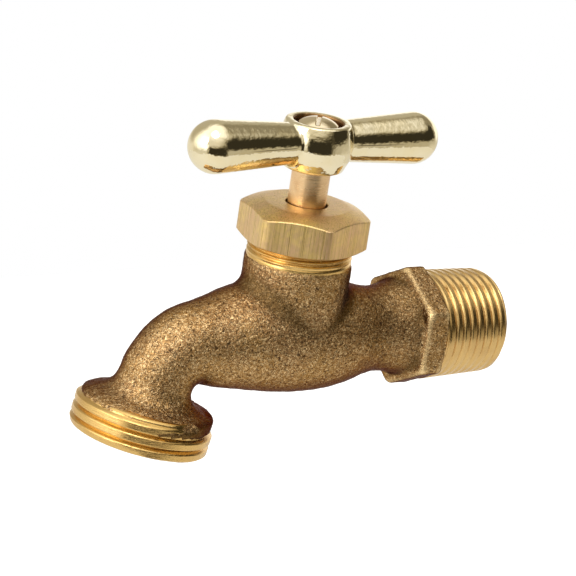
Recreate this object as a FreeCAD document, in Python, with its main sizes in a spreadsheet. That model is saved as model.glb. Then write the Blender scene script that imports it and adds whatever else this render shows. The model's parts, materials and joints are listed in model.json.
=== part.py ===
import FreeCAD, Part
import math
import os
import Sketcher

from FreeCAD import Placement, Rotation, Vector

# Hose bibb: a cast body between a tapered pipe thread and a hose thread, with a rising stem
# that a tee handle turns. The origin is the middle of the inlet's end face, +X runs out of the
# inlet and +Z runs up along the stem. Each piece is drawn about the stem's axis, at the height
# of the inlet's axis, and then set back by the inlet's reach.

DOC = FreeCAD.newDocument("hose_bibb")

# Driving dimensions, in millimetres and degrees
DIMENSIONS = {
    # Inlet: a half-inch tapered pipe thread with a cast hexagon behind it
    "inlet_reach": (46.4, "stem axis to the inlet's end face"),
    "pipe_tip_radius": (10.42, "crest radius of the pipe thread at its end"),
    "pipe_taper": (0.03125, "growth of the crest radius per length"),
    "pipe_length": (15.6, "length of the pipe thread"),
    "pipe_lead_in": (0.8, "chamfer at the pipe thread's end"),
    "inlet_bore_radius": (6.9, "waterway at the inlet"),
    "inlet_bore_depth": (17.5, "depth of the straight inlet waterway"),
    "wrench_flats": (21.6, "width of the inlet hexagon across its flats"),
    "wrench_width": (5.0, "length of the inlet hexagon"),
    "wrench_corner": (1.6, "cast radius on the hexagon's corners"),
    "wrench_edge": (0.9, "cast radius round the hexagon's front face"),
    # Barrel: radius of the casting at its stations, and how far each lies from the stem axis
    "flare_radius": (9.7, "where the barrel meets the hexagon"),
    "waist_reach": (19.2, "inlet side"),
    "waist_radius": (8.45, "narrowest place on the inlet side"),
    "flank_reach": (12.2, "inlet side"),
    "flank_radius": (10.0, "between waist and belly"),
    "belly_radius": (11.2, "widest place, under the stem"),
    "belly_rise": (0.2, "height of the belly's centre above the inlet's axis"),
    "shoulder_reach": (13.6, "spout side"),
    "shoulder_radius": (9.75, "between belly and spout"),
    "shoulder_rise": (0.4, "height of the shoulder's centre above the inlet's axis"),
    # Spout: a bend of steady radius and a straight tail down to the hose thread
    "bend_reach": (19.65, "stem axis to the start of the bend"),
    "bend_radius": (9.25, "radius of the bend's centre line"),
    "bend_turn": (78.7, "angle turned by the bend"),
    "throat_radius": (8.3, "casting at the start of the bend"),
    "spout_radius": (7.1, "casting at the end of the bend"),
    "tail_length": (11.05, "end of the bend to the outlet's end face"),
    "wall": (2.2, "thickness of the casting round the waterway"),
    # Outlet: a three-quarter-inch hose thread under a domed flange
    "hose_radius": (13.49, "crest radius of the hose thread"),
    "hose_length": (5.55, "length of the hose thread"),
    "hose_lead_in": (0.4, "chamfer at the hose thread's end"),
    "rim_radius": (12.7, "cast rim of the flange above the thread"),
    "rim_height": (0.9, "upright part of the cast rim"),
    "dome_radius": (8.8, "where the dome turns from round to hollow"),
    "dome_height": (2.6, "height of that place above the thread"),
    "dome_rise": (6.0, "height of the whole dome above the thread"),
    "dome_bow": (0.136, "rise of the dome's round curve over its chord's length"),
    "dome_dip": (0.089, "dip of the dome's hollow curve under its chord's length"),
    "mouth_radius": (8.7, "waterway at the outlet"),
    "mouth_depth": (6.5, "depth of the wide waterway at the outlet"),
    # Neck: carries the stem's thread inside and the bonnet's thread outside
    "neck_radius": (10.4, "cast neck"),
    "neck_cast_top": (15.5, "height where the machined band starts"),
    "neck_thread_radius": (10.15, "crest radius of the bonnet's thread"),
    "neck_top": (21.8, "height of the neck's end face"),
    "neck_relief": (0.5, "depth of the relief groove under the bonnet"),
    "neck_relief_width": (0.8, "width of the relief groove"),
    "neck_blend": (3.0, "cast radius between neck and barrel"),
    "guide_radius": (7.7, "bore that guides the stem's thread"),
    "guide_depth": (15.3, "depth of that bore"),
    "chamber_radius": (7.95, "chamber above the seat"),
    # Seat and the wall that carries it
    "seat_top": (1.0, "height of the seat's lip"),
    "seat_lip_height": (0.8, "height of the lip above its floor"),
    "seat_lip_radius": (5.8, "outside of the lip"),
    "seat_bore_radius": (4.75, "opening in the seat"),
    "seat_thickness": (2.8, "wall under the seat's floor"),
    "seat_block_radius": (10.1, "casting round the chamber"),
    "port_radius": (4.2, "opening from the chamber to the spout"),
    "port_inset": (1.0, "reach of that opening into the chamber"),
    "throat_length": (4.0, "straight waterway at the waist"),
    "inlet_belly_radius": (8.7, "waterway under the seat"),
    "inlet_belly_start": (6.3, "reach of its full width towards the inlet"),
    "inlet_belly_end": (5.6, "reach of that waterway past the stem axis"),
    # Stem, from its washer cup up to the square that drives it
    "washer_thickness": (3.2, "rubber seat washer"),
    "washer_radius": (6.0, "rubber seat washer"),
    "washer_bore": (2.0, "rubber seat washer"),
    "washer_fit": (0.1, "clearance between the washer and its cup or screw"),
    "cup_wall": (0.5, "rim of the cup round the washer"),
    "cup_depth": (1.5, "depth of the cup"),
    "cup_back": (1.2, "plate behind the washer"),
    "undercut_radius": (5.3, "groove under the stem's thread"),
    "undercut_width": (0.9, "groove under the stem's thread"),
    "guide_fit": (0.08, "clearance of the stem's thread in its bore"),
    "stem_radius": (3.7, "plain stem"),
    "stem_fit": (0.06, "clearance of the packing round the stem"),
    "stem_lead": (3.175, "rise of the stem in one turn"),
    "stem_turns": (2.25, "turns from shut to fully open"),
    "stop_gap": (0.35, "left under the friction ring when fully open"),
    "stem_shoulder_slope": (1.4, "height of the bevel above the stem's thread"),
    "square_flats": (5.6, "square that drives the handle"),
    "square_length": (4.2, "square that drives the handle"),
    "square_fit": (0.08, "clearance round the square"),
    # Packing under the bonnet
    "ring_thickness": (1.0, "friction ring"),
    "ring_radius": (8.8, "friction ring"),
    "ring_fit": (0.15, "clearance of the friction ring round the stem"),
    "packing_radius": (6.5, "packing ring"),
    "packing_height": (2.4, "packing ring"),
    "packing_bevel": (0.5, "packing ring"),
    "packing_gap": (0.1, "clearance round the packing and above the friction ring"),
    # Bonnet: a hexagon cap screwed over the neck
    "bonnet_flats": (22.4, "width across the flats"),
    "bonnet_turn": (20.2, "turn of the hexagon about the stem"),
    "bonnet_skirt": (2.85, "reach of its skirt below the neck's end face"),
    "bonnet_roof": (1.7, "wall above the packing"),
    "bonnet_slope": (20.0, "slope of its bevels"),
    "crown_radius": (8.1, "flat round the stem"),
    "foot_radius": (10.6, "lower face"),
    "bonnet_hole_fit": (0.4, "clearance of the hole round the stem"),
    "bonnet_thread_fit": (0.1, "clearance of the cap's thread on the neck"),
    # Tee handle
    "handle_height": (38.9, "height of the handle's axis"),
    "handle_turn": (1.5, "turn of the handle about the stem"),
    "hub_bottom": (34.0, "height of the hub's lower face"),
    "hub_top": (43.15, "height of the hub's upper rim"),
    "hub_foot_radius": (5.8, "hub at its lower face"),
    "hub_waist_rise": (2.2, "height of the hub's lower bend above that face"),
    "hub_waist_radius": (6.8, "hub at its lower bend"),
    "hub_radius": (7.1, "hub at its widest"),
    "hub_rim_drop": (4.7, "drop of the widest place under the upper rim"),
    "hub_rim_radius": (6.2, "hub at its upper rim"),
    "recess_radius": (4.9, "recess for the screw"),
    "recess_depth": (2.2, "recess for the screw"),
    "recess_draft": (0.3, "narrowing of the recess towards its floor"),
    "socket_fit": (0.1, "clearance of the hub round the plain stem"),
    "socket_depth": (1.5, "length of plain stem inside the hub"),
    "arm_reach": (22.85, "stem axis to the middle of each ball"),
    "ball_radius": (5.08, "ball on the end of each arm"),
    "arm_radius": (4.05, "arm where it meets the hub"),
    # Screws
    "handle_screw_radius": (1.95, "shank of the handle screw"),
    "handle_screw_head": (3.9, "head of the handle screw"),
    "handle_screw_side": (1.6, "upright side of its head"),
    "handle_screw_dome": (1.3, "height of the dome above that side"),
    "handle_screw_length": (8.5, "shank under its head"),
    "washer_screw_head": (3.2, "head of the washer screw"),
    "washer_screw_dome": (1.5, "height of its domed head"),
    "washer_screw_length": (8.0, "shank under its head"),
    "screw_fit": (0.05, "clearance of a screw's shank in its hole"),
    "hole_spare": (0.8, "hole left below a screw's end"),
    "slot_width": (0.9, "screwdriver slots"),
    "slot_depth": (0.9, "screwdriver slots"),
    "slot_turn": (-38.0, "turn of the handle screw's slot about the stem"),
}

COVE_STEPS = 3
PORT_STEPS = 3
BEND_STEPS = 4
SIDES = 6

# How far a cut runs past the metal
CLEAR = 1.0


class Size:
    """A number together with the formula that it comes from, so that both can be handed to a feature."""

    def __init__(self, value, text):
        self.value = value
        self.text = text

    def joined(self, other, sign, value):
        other_text = other.text if isinstance(other, Size) else str(other)
        return Size(value, f"({self.text} {sign} {other_text})")

    def __add__(self, other):
        return self.joined(other, "+", self.value + number(other))

    def __sub__(self, other):
        return self.joined(other, "-", self.value - number(other))

    def __mul__(self, other):
        return self.joined(other, "*", self.value * number(other))

    def __truediv__(self, other):
        return self.joined(other, "/", self.value / number(other))

    def __neg__(self):
        return Size(-self.value, f"(0 - {self.text})")


def number(size):
    return size.value if isinstance(size, Size) else float(size)


def sine(angle):
    return Size(math.sin(math.radians(angle.value)), f"sin({angle.text} * 1 deg)")


def cosine(angle):
    return Size(math.cos(math.radians(angle.value)), f"cos({angle.text} * 1 deg)")


def tangent(angle):
    return Size(math.tan(math.radians(angle.value)), f"tan({angle.text} * 1 deg)")


def root(size):
    return Size(math.sqrt(size.value), f"sqrt({size.text})")


def plain(value):
    return Size(float(value), str(float(value)))


ZERO = plain(0)


class Sizes:
    """The driving dimensions by name, each tied to its cell in the sheet."""

    def __init__(self, sheet, table):
        for row, (alias, (value, meaning)) in enumerate(table.items(), start=1):
            sheet.set(f"A{row}", alias)
            sheet.set(f"B{row}", str(value))
            sheet.set(f"C{row}", meaning)
            sheet.setAlias(f"B{row}", alias)
            setattr(self, alias, Size(value, f"{sheet.Name}.{alias}"))


SHEET = DOC.addObject("Spreadsheet::Sheet", "Dimensions")
S = Sizes(SHEET, DIMENSIONS)
DOC.recompute()


# Lengths that several pieces share
OUTLET_TILT = plain(90) - S.bend_turn
BEND_END_X = -(S.bend_reach + S.bend_radius * sine(S.bend_turn))
BEND_END_Z = -(S.bend_radius * (plain(1) - cosine(S.bend_turn)))
OUTLET_X = BEND_END_X - S.tail_length * cosine(S.bend_turn)
OUTLET_Z = BEND_END_Z - S.tail_length * sine(S.bend_turn)
WRENCH_REAR = S.inlet_reach - S.pipe_length
WRENCH_FRONT = WRENCH_REAR - S.wrench_width
SEAT_FLOOR = S.seat_top - S.seat_lip_height
STEM_LIFT = S.stem_lead * S.stem_turns
WASHER_TOP = S.seat_top + S.washer_thickness
STEM_THREAD_TOP = S.neck_top - STEM_LIFT - S.stop_gap
STEM_THREAD_RADIUS = S.guide_radius - S.guide_fit
RING_TOP = S.neck_top + S.ring_thickness
PACKING_TOP = RING_TOP + S.packing_height
BONNET_BOTTOM = S.neck_top - S.bonnet_skirt
BONNET_TOP = PACKING_TOP + S.bonnet_roof
SQUARE_FOOT = S.hub_bottom + S.socket_depth
RECESS_FLOOR = S.hub_top - S.recess_depth


def bind(feature, path, size):
    """Give a property its number now and its formula for later changes."""
    feature.setExpression(path, size.text)


def new_body(name):
    """A body of its own, drawn about the stem axis and set back from the inlet's end face."""
    body = DOC.addObject("PartDesign::Body", name)
    body.Label = name
    bind(body, "Placement.Base.x", -S.inlet_reach)
    return body


def plane_of(body, role):
    return next(item for item in body.Origin.OriginFeatures if item.Role == role)


def new_sketch(body, name, role, base=(ZERO, ZERO, ZERO), axis=Vector(0, 0, 1), angle=ZERO):
    """A sketch on one of the body's planes, moved by base and turned about axis in its own frame."""
    sketch = body.newObject("Sketcher::SketchObject", name)
    sketch.AttachmentSupport = [(plane_of(body, role), "")]
    sketch.MapMode = "FlatFace"
    offset = Vector(*(number(part) for part in base))
    sketch.AttachmentOffset = Placement(offset, Rotation(axis, number(angle)))
    for letter, part in zip("xyz", base):
        if part is not ZERO:
            bind(sketch, f"AttachmentOffset.Base.{letter}", part)
    if angle is not ZERO:
        bind(sketch, "AttachmentOffset.Rotation.Angle", angle)
    return sketch


def pin_point(sketch, geo, end, x, y):
    """Tie one end of a curve to its two coordinates."""
    for kind, size, axis_id in (("DistanceX", x, -2), ("DistanceY", y, -1)):
        if abs(size.value) < 1e-9:
            sketch.addConstraint(Sketcher.Constraint("PointOnObject", geo, end, axis_id))
        elif size.value > 0:
            index = sketch.addConstraint(Sketcher.Constraint(kind, -1, 1, geo, end, size.value))
            bind(sketch, f"Constraints[{index}]", size)
        else:
            index = sketch.addConstraint(Sketcher.Constraint(kind, geo, end, -1, 1, -size.value))
            bind(sketch, f"Constraints[{index}]", -size)


def arc_between(start, end, radius):
    """The short arc from start to end; a positive radius bows it to the left of its way."""
    chord = end - start
    middle = (start + end) * 0.5
    left = Vector(-chord.y, chord.x, 0)
    left.normalize()
    side = 1.0 if radius > 0 else -1.0
    sagitta = abs(radius) - math.sqrt(radius * radius - chord.Length * chord.Length / 4)
    return Part.Arc(start, middle + left * (side * sagitta), end)


def curve_over(start, end, rise):
    """Radius of the arc whose middle lies off its chord by rise times the chord's length."""
    width = end[0] - start[0]
    height = end[1] - start[1]
    chord = root(width * width + height * height)
    return chord * (rise * rise * 4 + 1) / (rise * 8)


def draw_outline(sketch, corners, arcs=None):
    """A closed outline through corners (x, y); arcs gives the radius of the curve that leaves a corner."""
    arcs = arcs or {}
    points = [Vector(x.value, y.value, 0) for x, y in corners]
    count = len(points)
    for index, start in enumerate(points):
        end = points[(index + 1) % count]
        if index in arcs:
            geo = sketch.addGeometry(arc_between(start, end, arcs[index].value), False)
        else:
            geo = sketch.addGeometry(Part.LineSegment(start, end), False)
        assert geo == index
    ends = [ends_of(sketch, index, points[index]) for index in range(count)]
    for index, (x, y) in enumerate(corners):
        before = (index - 1) % count
        joint = Sketcher.Constraint("Coincident", before, ends[before][1], index, ends[index][0])
        sketch.addConstraint(joint)
        pin_point(sketch, index, ends[index][0], x, y)
    for index, radius in arcs.items():
        size = radius if radius.value > 0 else -radius
        number_of = sketch.addConstraint(Sketcher.Constraint("Radius", index, size.value))
        bind(sketch, f"Constraints[{number_of}]", size)


def ends_of(sketch, geo, start):
    """Which end of a curve lies at start, and which is the other one."""
    at_first = sketch.getPoint(geo, 1).distanceToPoint(start) < 1e-6
    return (1, 2) if at_first else (2, 1)


def draw_circle(sketch, x, y, radius):
    geo = sketch.addGeometry(Part.Circle(Vector(x.value, y.value, 0), Vector(0, 0, 1), radius.value), False)
    index = sketch.addConstraint(Sketcher.Constraint("Radius", geo, radius.value))
    bind(sketch, f"Constraints[{index}]", radius)
    pin_point(sketch, geo, 3, x, y)


def pad(body, sketch, name, length):
    feature = body.newObject("PartDesign::Pad", name)
    feature.Profile = sketch
    feature.Length = length.value
    bind(feature, "Length", length)
    DOC.recompute()
    return feature


def spin(body, sketch, name, axis="V_Axis", cut=False):
    """Turn a sketch once round one of its own axes, as metal or as a cut."""
    kind = "PartDesign::Groove" if cut else "PartDesign::Revolution"
    feature = body.newObject(kind, name)
    feature.Profile = sketch
    feature.ReferenceAxis = (sketch, [axis])
    feature.Angle = 360.0
    DOC.recompute()
    return feature


def pocket(body, sketch, name, length, reverse=False):
    """A straight cut, checked against the volume so that it can't point away from the metal."""
    before = body.Shape.Volume
    feature = body.newObject("PartDesign::Pocket", name)
    feature.Profile = sketch
    feature.Length = length.value
    feature.Reversed = reverse
    bind(feature, "Length", length)
    DOC.recompute()
    if body.Shape.Volume > before - 1e-3:
        raise RuntimeError(f"{name} cuts nothing")
    return feature


def loft(body, sections, name, cut=False):
    """A skin through round sections: smooth outside, and in straight runs where it cuts."""
    kind = "PartDesign::SubtractiveLoft" if cut else "PartDesign::AdditiveLoft"
    feature = body.newObject(kind, name)
    feature.Profile = sections[0]
    feature.Sections = sections[1:]
    feature.Ruled = cut
    DOC.recompute()
    return feature


def round_edges(body, name, radius, wanted):
    """Round every edge of the body that wanted picks."""
    base = body.Tip
    names = [f"Edge{index}" for index, edge in enumerate(base.Shape.Edges, start=1) if wanted(edge)]
    if not names:
        raise RuntimeError(f"{name} finds no edge")
    feature = body.newObject("PartDesign::Fillet", name)
    feature.Base = (base, names)
    feature.Radius = radius.value
    bind(feature, "Radius", radius)
    DOC.recompute()
    return feature


def corner_radius(across_flats):
    return across_flats / 2 / cosine(plain(180 / SIDES))


def hexagon(across_flats, turn):
    """Corners of a hexagon, the first one turned from the sketch's x axis."""
    corner = corner_radius(across_flats)
    angles = [turn + plain(360 / SIDES * side) for side in range(SIDES)]
    return [(corner * cosine(angle), corner * sine(angle)) for angle in angles]


def station(body, name, x, z, lean, radius):
    """A round section of the casting, whose normal leans by an angle from the X axis towards Z."""
    sketch = new_sketch(body, name, "YZ_Plane", base=(ZERO, z, x), axis=Vector(1, 0, 0), angle=-lean)
    draw_circle(sketch, ZERO, ZERO, radius)
    return sketch


def spout_stations(body, prefix, start_radius, end_radius):
    """Sections round the bend and at the tail's foot, narrowing from start_radius, quickly at first."""
    rows = []
    for step in range(BEND_STEPS + 1):
        share = plain(step / BEND_STEPS)
        lean = S.bend_turn * share
        x = -(S.bend_reach + S.bend_radius * sine(lean))
        z = -(S.bend_radius * (plain(1) - cosine(lean)))
        left = plain(1) - share
        radius = end_radius + (start_radius - end_radius) * left * left
        rows.append(station(body, f"{prefix}_bend_{step}", x, z, lean, radius))
    foot_x = OUTLET_X + S.hose_length * cosine(S.bend_turn)
    foot_z = OUTLET_Z + S.hose_length * sine(S.bend_turn)
    rows.append(station(body, f"{prefix}_foot", foot_x, foot_z, S.bend_turn, end_radius))
    return rows


def barrel_and_spout(body):
    """One smooth skin from the hexagon over the belly and round the bend."""
    rows = []
    for step in range(COVE_STEPS, -1, -1):
        share = plain(step / COVE_STEPS)
        x = S.waist_reach + (WRENCH_FRONT - S.waist_reach) * share
        radius = S.waist_radius + (S.flare_radius - S.waist_radius) * share * share
        rows.append(station(body, f"skin_cove_{step}", x, ZERO, ZERO, radius))
    rows += [
        station(body, "skin_flank", S.flank_reach, ZERO, ZERO, S.flank_radius),
        station(body, "skin_belly", ZERO, S.belly_rise, ZERO, S.belly_radius),
        station(body, "skin_shoulder", -S.shoulder_reach, S.shoulder_rise, ZERO, S.shoulder_radius),
    ]
    rows += spout_stations(body, "skin", S.throat_radius, S.spout_radius)
    return loft(body, rows, "barrel")


def outlet_frame(body, name):
    """A sketch in the plane of the bend whose y axis runs up the outlet's own axis from its end face."""
    return new_sketch(body, name, "XZ_Plane", base=(OUTLET_X, OUTLET_Z, ZERO), angle=-OUTLET_TILT)


def outlet_flange(body):
    """The domed flange and the plain cylinder that the hose thread is cut on."""
    sketch = outlet_frame(body, "flange_outline")
    top = S.hose_length + S.dome_rise
    corners = [
        (ZERO, ZERO),
        (S.hose_radius - S.hose_lead_in, ZERO),
        (S.hose_radius, S.hose_lead_in),
        (S.hose_radius, S.hose_length),
        (S.rim_radius, S.hose_length),
        (S.rim_radius, S.hose_length + S.rim_height),
        (S.dome_radius, S.hose_length + S.dome_height),
        (S.spout_radius, top),
        (ZERO, top),
    ]
    draw_outline(sketch, corners, {
        5: -curve_over(corners[5], corners[6], S.dome_bow),
        6: curve_over(corners[6], corners[7], S.dome_dip),
    })
    return spin(body, sketch, "flange")


def inlet_hexagon(body):
    """The cast hexagon that a wrench holds, with its corners above and below the inlet's axis."""
    sketch = new_sketch(body, "wrench_outline", "YZ_Plane", base=(ZERO, ZERO, WRENCH_FRONT))
    draw_outline(sketch, hexagon(S.wrench_flats, plain(90)))
    pad(body, sketch, "wrench_hexagon", S.wrench_width)
    front = WRENCH_FRONT.value
    corner = corner_radius(S.wrench_flats).value

    def long_corner(edge):
        ends = [vertex.Point for vertex in edge.Vertexes]
        if len(ends) != 2 or abs(ends[0].x - ends[1].x) < S.wrench_width.value - 0.01:
            return False
        return all(abs(math.hypot(end.y, end.z) - corner) < 0.01 for end in ends)

    round_edges(body, "wrench_corners", S.wrench_corner, long_corner)

    def front_edge(edge):
        box = edge.BoundBox
        flat = abs(box.XMin - front) < 1e-4 and abs(box.XMax - front) < 1e-4
        return flat and math.hypot(edge.CenterOfMass.y, edge.CenterOfMass.z) > S.flare_radius.value

    return round_edges(body, "wrench_front", S.wrench_edge, front_edge)


def pipe_spigot(body):
    """The tapered spigot that the pipe thread is cut on."""
    sketch = new_sketch(body, "spigot_outline", "XZ_Plane")
    root_radius = S.pipe_tip_radius + S.pipe_length * S.pipe_taper
    corners = [
        (WRENCH_REAR, ZERO),
        (S.inlet_reach, ZERO),
        (S.inlet_reach, S.pipe_tip_radius - S.pipe_lead_in),
        (S.inlet_reach - S.pipe_lead_in, S.pipe_tip_radius + S.pipe_lead_in * S.pipe_taper),
        (WRENCH_REAR, root_radius),
    ]
    draw_outline(sketch, corners)
    return spin(body, sketch, "pipe_spigot", axis="H_Axis")


def neck(body):
    """The cast neck, blended into the barrel, and the machined band above it for the bonnet's thread."""
    sketch = new_sketch(body, "neck_outline", "XY_Plane")
    draw_circle(sketch, ZERO, ZERO, S.neck_radius)
    pad(body, sketch, "cast_neck", S.neck_cast_top)

    def foot(edge):
        points = edge.discretize(9)
        on_neck = all(abs(math.hypot(point.x, point.y) - S.neck_radius.value) < 0.02 for point in points)
        low = max(point.z for point in points) < S.neck_cast_top.value - 1
        crossing = max(point.x for point in points) - min(point.x for point in points) > 0.5
        return on_neck and low and crossing

    round_edges(body, "neck_blend", S.neck_blend, foot)
    relief_top = BONNET_BOTTOM
    relief_foot = relief_top - S.neck_relief_width
    relief_radius = S.neck_thread_radius - S.neck_relief
    band = new_sketch(body, "band_outline", "XZ_Plane")
    corners = [
        (ZERO, S.neck_cast_top),
        (S.neck_thread_radius, S.neck_cast_top),
        (S.neck_thread_radius, relief_foot),
        (relief_radius, relief_foot),
        (relief_radius, relief_top),
        (S.neck_thread_radius, relief_top),
        (S.neck_thread_radius, S.neck_top),
        (ZERO, S.neck_top),
    ]
    draw_outline(band, corners)
    return spin(body, band, "neck_band")


def inlet_waterway(body):
    """Cut the way in: a straight bore, a narrower waist and a chamber under the seat."""
    sketch = new_sketch(body, "way_in_outline", "XZ_Plane")
    throat = S.waist_radius - S.wall
    bore_end = S.inlet_reach - S.inlet_bore_depth
    corners = [
        (S.inlet_reach + CLEAR, ZERO),
        (S.inlet_reach + CLEAR, S.inlet_bore_radius),
        (bore_end, S.inlet_bore_radius),
        (S.waist_reach + S.throat_length / 2, throat),
        (S.waist_reach - S.throat_length / 2, throat),
        (S.inlet_belly_start, S.inlet_belly_radius),
        (ZERO, S.inlet_belly_radius),
        (-S.inlet_belly_end, S.inlet_belly_radius / 2),
        (-S.inlet_belly_end, ZERO),
    ]
    draw_outline(sketch, corners)
    return spin(body, sketch, "way_in", axis="H_Axis", cut=True)


def seat_and_guide(body):
    """Put back the wall that carries the seat, then bore the guide, the chamber and the seat's opening."""
    block_foot = (ZERO, ZERO, SEAT_FLOOR - S.seat_thickness)
    block = new_sketch(body, "seat_block_outline", "XY_Plane", base=block_foot)
    draw_circle(block, ZERO, ZERO, S.seat_block_radius)
    block_top = S.inlet_belly_radius + S.seat_lip_height
    pad(body, block, "seat_block", block_top - SEAT_FLOOR + S.seat_thickness)
    bores = new_sketch(body, "stem_bores_outline", "XZ_Plane")
    guide_foot = S.neck_top - S.guide_depth
    corners = [
        (ZERO, S.neck_top + CLEAR),
        (ZERO, SEAT_FLOOR - S.seat_thickness - CLEAR),
        (S.seat_bore_radius, SEAT_FLOOR - S.seat_thickness - CLEAR),
        (S.seat_bore_radius, S.seat_top),
        (S.seat_lip_radius, S.seat_top),
        (S.seat_lip_radius + S.seat_lip_height / 2, SEAT_FLOOR),
        (S.chamber_radius, SEAT_FLOOR),
        (S.chamber_radius, guide_foot - (S.chamber_radius - S.guide_radius)),
        (S.guide_radius, guide_foot),
        (S.guide_radius, S.neck_top + CLEAR),
    ]
    draw_outline(bores, corners)
    return spin(body, bores, "stem_bores", cut=True)


def outlet_waterway(body):
    """Cut the way out: over the seat's wall, round the bend and into the wide mouth."""
    start = S.chamber_radius - S.port_inset
    start_z = SEAT_FLOOR + S.port_radius
    throat = S.throat_radius - S.wall
    rows = []
    for step in range(PORT_STEPS):
        share = step / PORT_STEPS
        fall = share * share * (3 - 2 * share)
        x = -(start + (S.bend_reach - start) * share)
        rows.append(station(body, f"way_out_port_{step}", x, start_z * (1 - fall), ZERO,
                            S.port_radius + (throat - S.port_radius) * share))
    rows += spout_stations(body, "way_out", throat, S.spout_radius - S.wall)
    loft(body, rows, "way_out", cut=True)
    sketch = outlet_frame(body, "mouth_outline")
    inner = S.spout_radius - S.wall
    corners = [
        (ZERO, plain(-CLEAR)),
        (S.mouth_radius, plain(-CLEAR)),
        (S.mouth_radius, S.mouth_depth),
        (inner, S.mouth_depth + (S.mouth_radius - inner) / 2),
        (ZERO, S.mouth_depth + (S.mouth_radius - inner) / 2),
    ]
    draw_outline(sketch, corners)
    return spin(body, sketch, "mouth", cut=True)


def body_casting():
    """The one-piece casting with its seat."""
    body = new_body("body_casting")
    barrel_and_spout(body)
    outlet_flange(body)
    inlet_hexagon(body)
    pipe_spigot(body)
    neck(body)
    inlet_waterway(body)
    seat_and_guide(body)
    outlet_waterway(body)
    return body


def turned(name, corners, arcs=None, turn=None):
    """A piece turned about the stem axis from an outline of radius and height."""
    body = new_body(name)
    if turn is not None:
        body.Placement = Placement(body.Placement.Base, Rotation(Vector(0, 0, 1), turn.value))
        bind(body, "Placement.Rotation.Angle", turn)
    sketch = new_sketch(body, f"{name}_outline", "XZ_Plane")
    draw_outline(sketch, corners, arcs)
    spin(body, sketch, f"{name}_turned")
    return body


def bonnet_cap():
    """The hexagon cap over the neck, bevelled above and below, with a seat for the packing inside."""
    body = new_body("bonnet_cap")
    sketch = new_sketch(body, "bonnet_outline", "XY_Plane", base=(ZERO, ZERO, BONNET_BOTTOM))
    draw_outline(sketch, hexagon(S.bonnet_flats, S.bonnet_turn))
    pad(body, sketch, "bonnet_hexagon", BONNET_TOP - BONNET_BOTTOM)
    beyond = corner_radius(S.bonnet_flats) + CLEAR
    slope = tangent(S.bonnet_slope)
    above = new_sketch(body, "crown_bevel_outline", "XZ_Plane")
    draw_outline(above, [
        (S.crown_radius, BONNET_TOP),
        (beyond, BONNET_TOP - (beyond - S.crown_radius) * slope),
        (beyond, BONNET_TOP + CLEAR),
        (S.crown_radius, BONNET_TOP + CLEAR),
    ])
    spin(body, above, "crown_bevel", cut=True)
    below = new_sketch(body, "foot_bevel_outline", "XZ_Plane")
    draw_outline(below, [
        (S.foot_radius, BONNET_BOTTOM),
        (S.foot_radius, BONNET_BOTTOM - CLEAR),
        (beyond, BONNET_BOTTOM - CLEAR),
        (beyond, BONNET_BOTTOM + (beyond - S.foot_radius) * slope),
    ])
    spin(body, below, "foot_bevel", cut=True)
    inside = new_sketch(body, "bonnet_bores_outline", "XZ_Plane")
    thread = S.neck_thread_radius + S.bonnet_thread_fit
    well = S.packing_radius + S.packing_gap
    draw_outline(inside, [
        (ZERO, BONNET_BOTTOM - CLEAR),
        (thread, BONNET_BOTTOM - CLEAR),
        (thread, RING_TOP + S.packing_gap),
        (well, RING_TOP + S.packing_gap),
        (well, PACKING_TOP),
        (S.stem_radius + S.bonnet_hole_fit, PACKING_TOP),
        (S.stem_radius + S.bonnet_hole_fit, BONNET_TOP + CLEAR),
        (ZERO, BONNET_TOP + CLEAR),
    ])
    spin(body, inside, "bonnet_bores", cut=True)
    return body


def friction_ring():
    """The brass ring on the neck's end that the packing bears on."""
    inner = S.stem_radius + S.ring_fit
    return turned("friction_ring", [
        (inner, S.neck_top),
        (S.ring_radius, S.neck_top),
        (S.ring_radius, RING_TOP),
        (inner, RING_TOP),
    ])


def packing_ring():
    """The soft ring squeezed between the friction ring and the cap."""
    inner = S.stem_radius + S.stem_fit
    return turned("packing_ring", [
        (inner, RING_TOP),
        (S.packing_radius, RING_TOP),
        (S.packing_radius, PACKING_TOP - S.packing_bevel),
        (S.packing_radius - S.packing_bevel, PACKING_TOP),
        (inner, PACKING_TOP),
    ])


def seat_washer():
    """The flat rubber washer that shuts the seat."""
    return turned("seat_washer", [
        (S.washer_bore, S.seat_top),
        (S.washer_radius, S.seat_top),
        (S.washer_radius, WASHER_TOP),
        (S.washer_bore, WASHER_TOP),
    ])


def dome_arc(radius, height):
    """Radius of the arc that makes a dome of this height over a disc of this radius."""
    return (radius * radius + height * height) / (height * 2)


def slot_across(body, name, height, up):
    """A screwdriver slot across a head's crown, cut towards the shank."""
    depth = S.slot_depth
    foot = height - depth if up else height
    half = S.slot_width / 2
    reach = S.handle_screw_head + 1
    sketch = new_sketch(body, f"{name}_outline", "XY_Plane", base=(ZERO, ZERO, foot))
    draw_outline(sketch, [(-half, -reach), (half, -reach), (half, reach), (-half, reach)])
    return pocket(body, sketch, name, depth, reverse=True)


def washer_screw():
    """The screw that holds the washer in its cup, head down."""
    shank = S.washer_bore - S.washer_fit
    crown = S.seat_top - S.washer_screw_dome
    top = S.seat_top + S.washer_screw_length
    body = turned("washer_screw", [
        (ZERO, crown),
        (S.washer_screw_head, S.seat_top),
        (shank, S.seat_top),
        (shank, top - shank / 2),
        (shank / 2, top),
        (ZERO, top),
    ], {0: -dome_arc(S.washer_screw_head, S.washer_screw_dome)}, turn=S.handle_turn)
    slot_across(body, "washer_screw_slot", crown, up=False)
    return body


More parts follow.
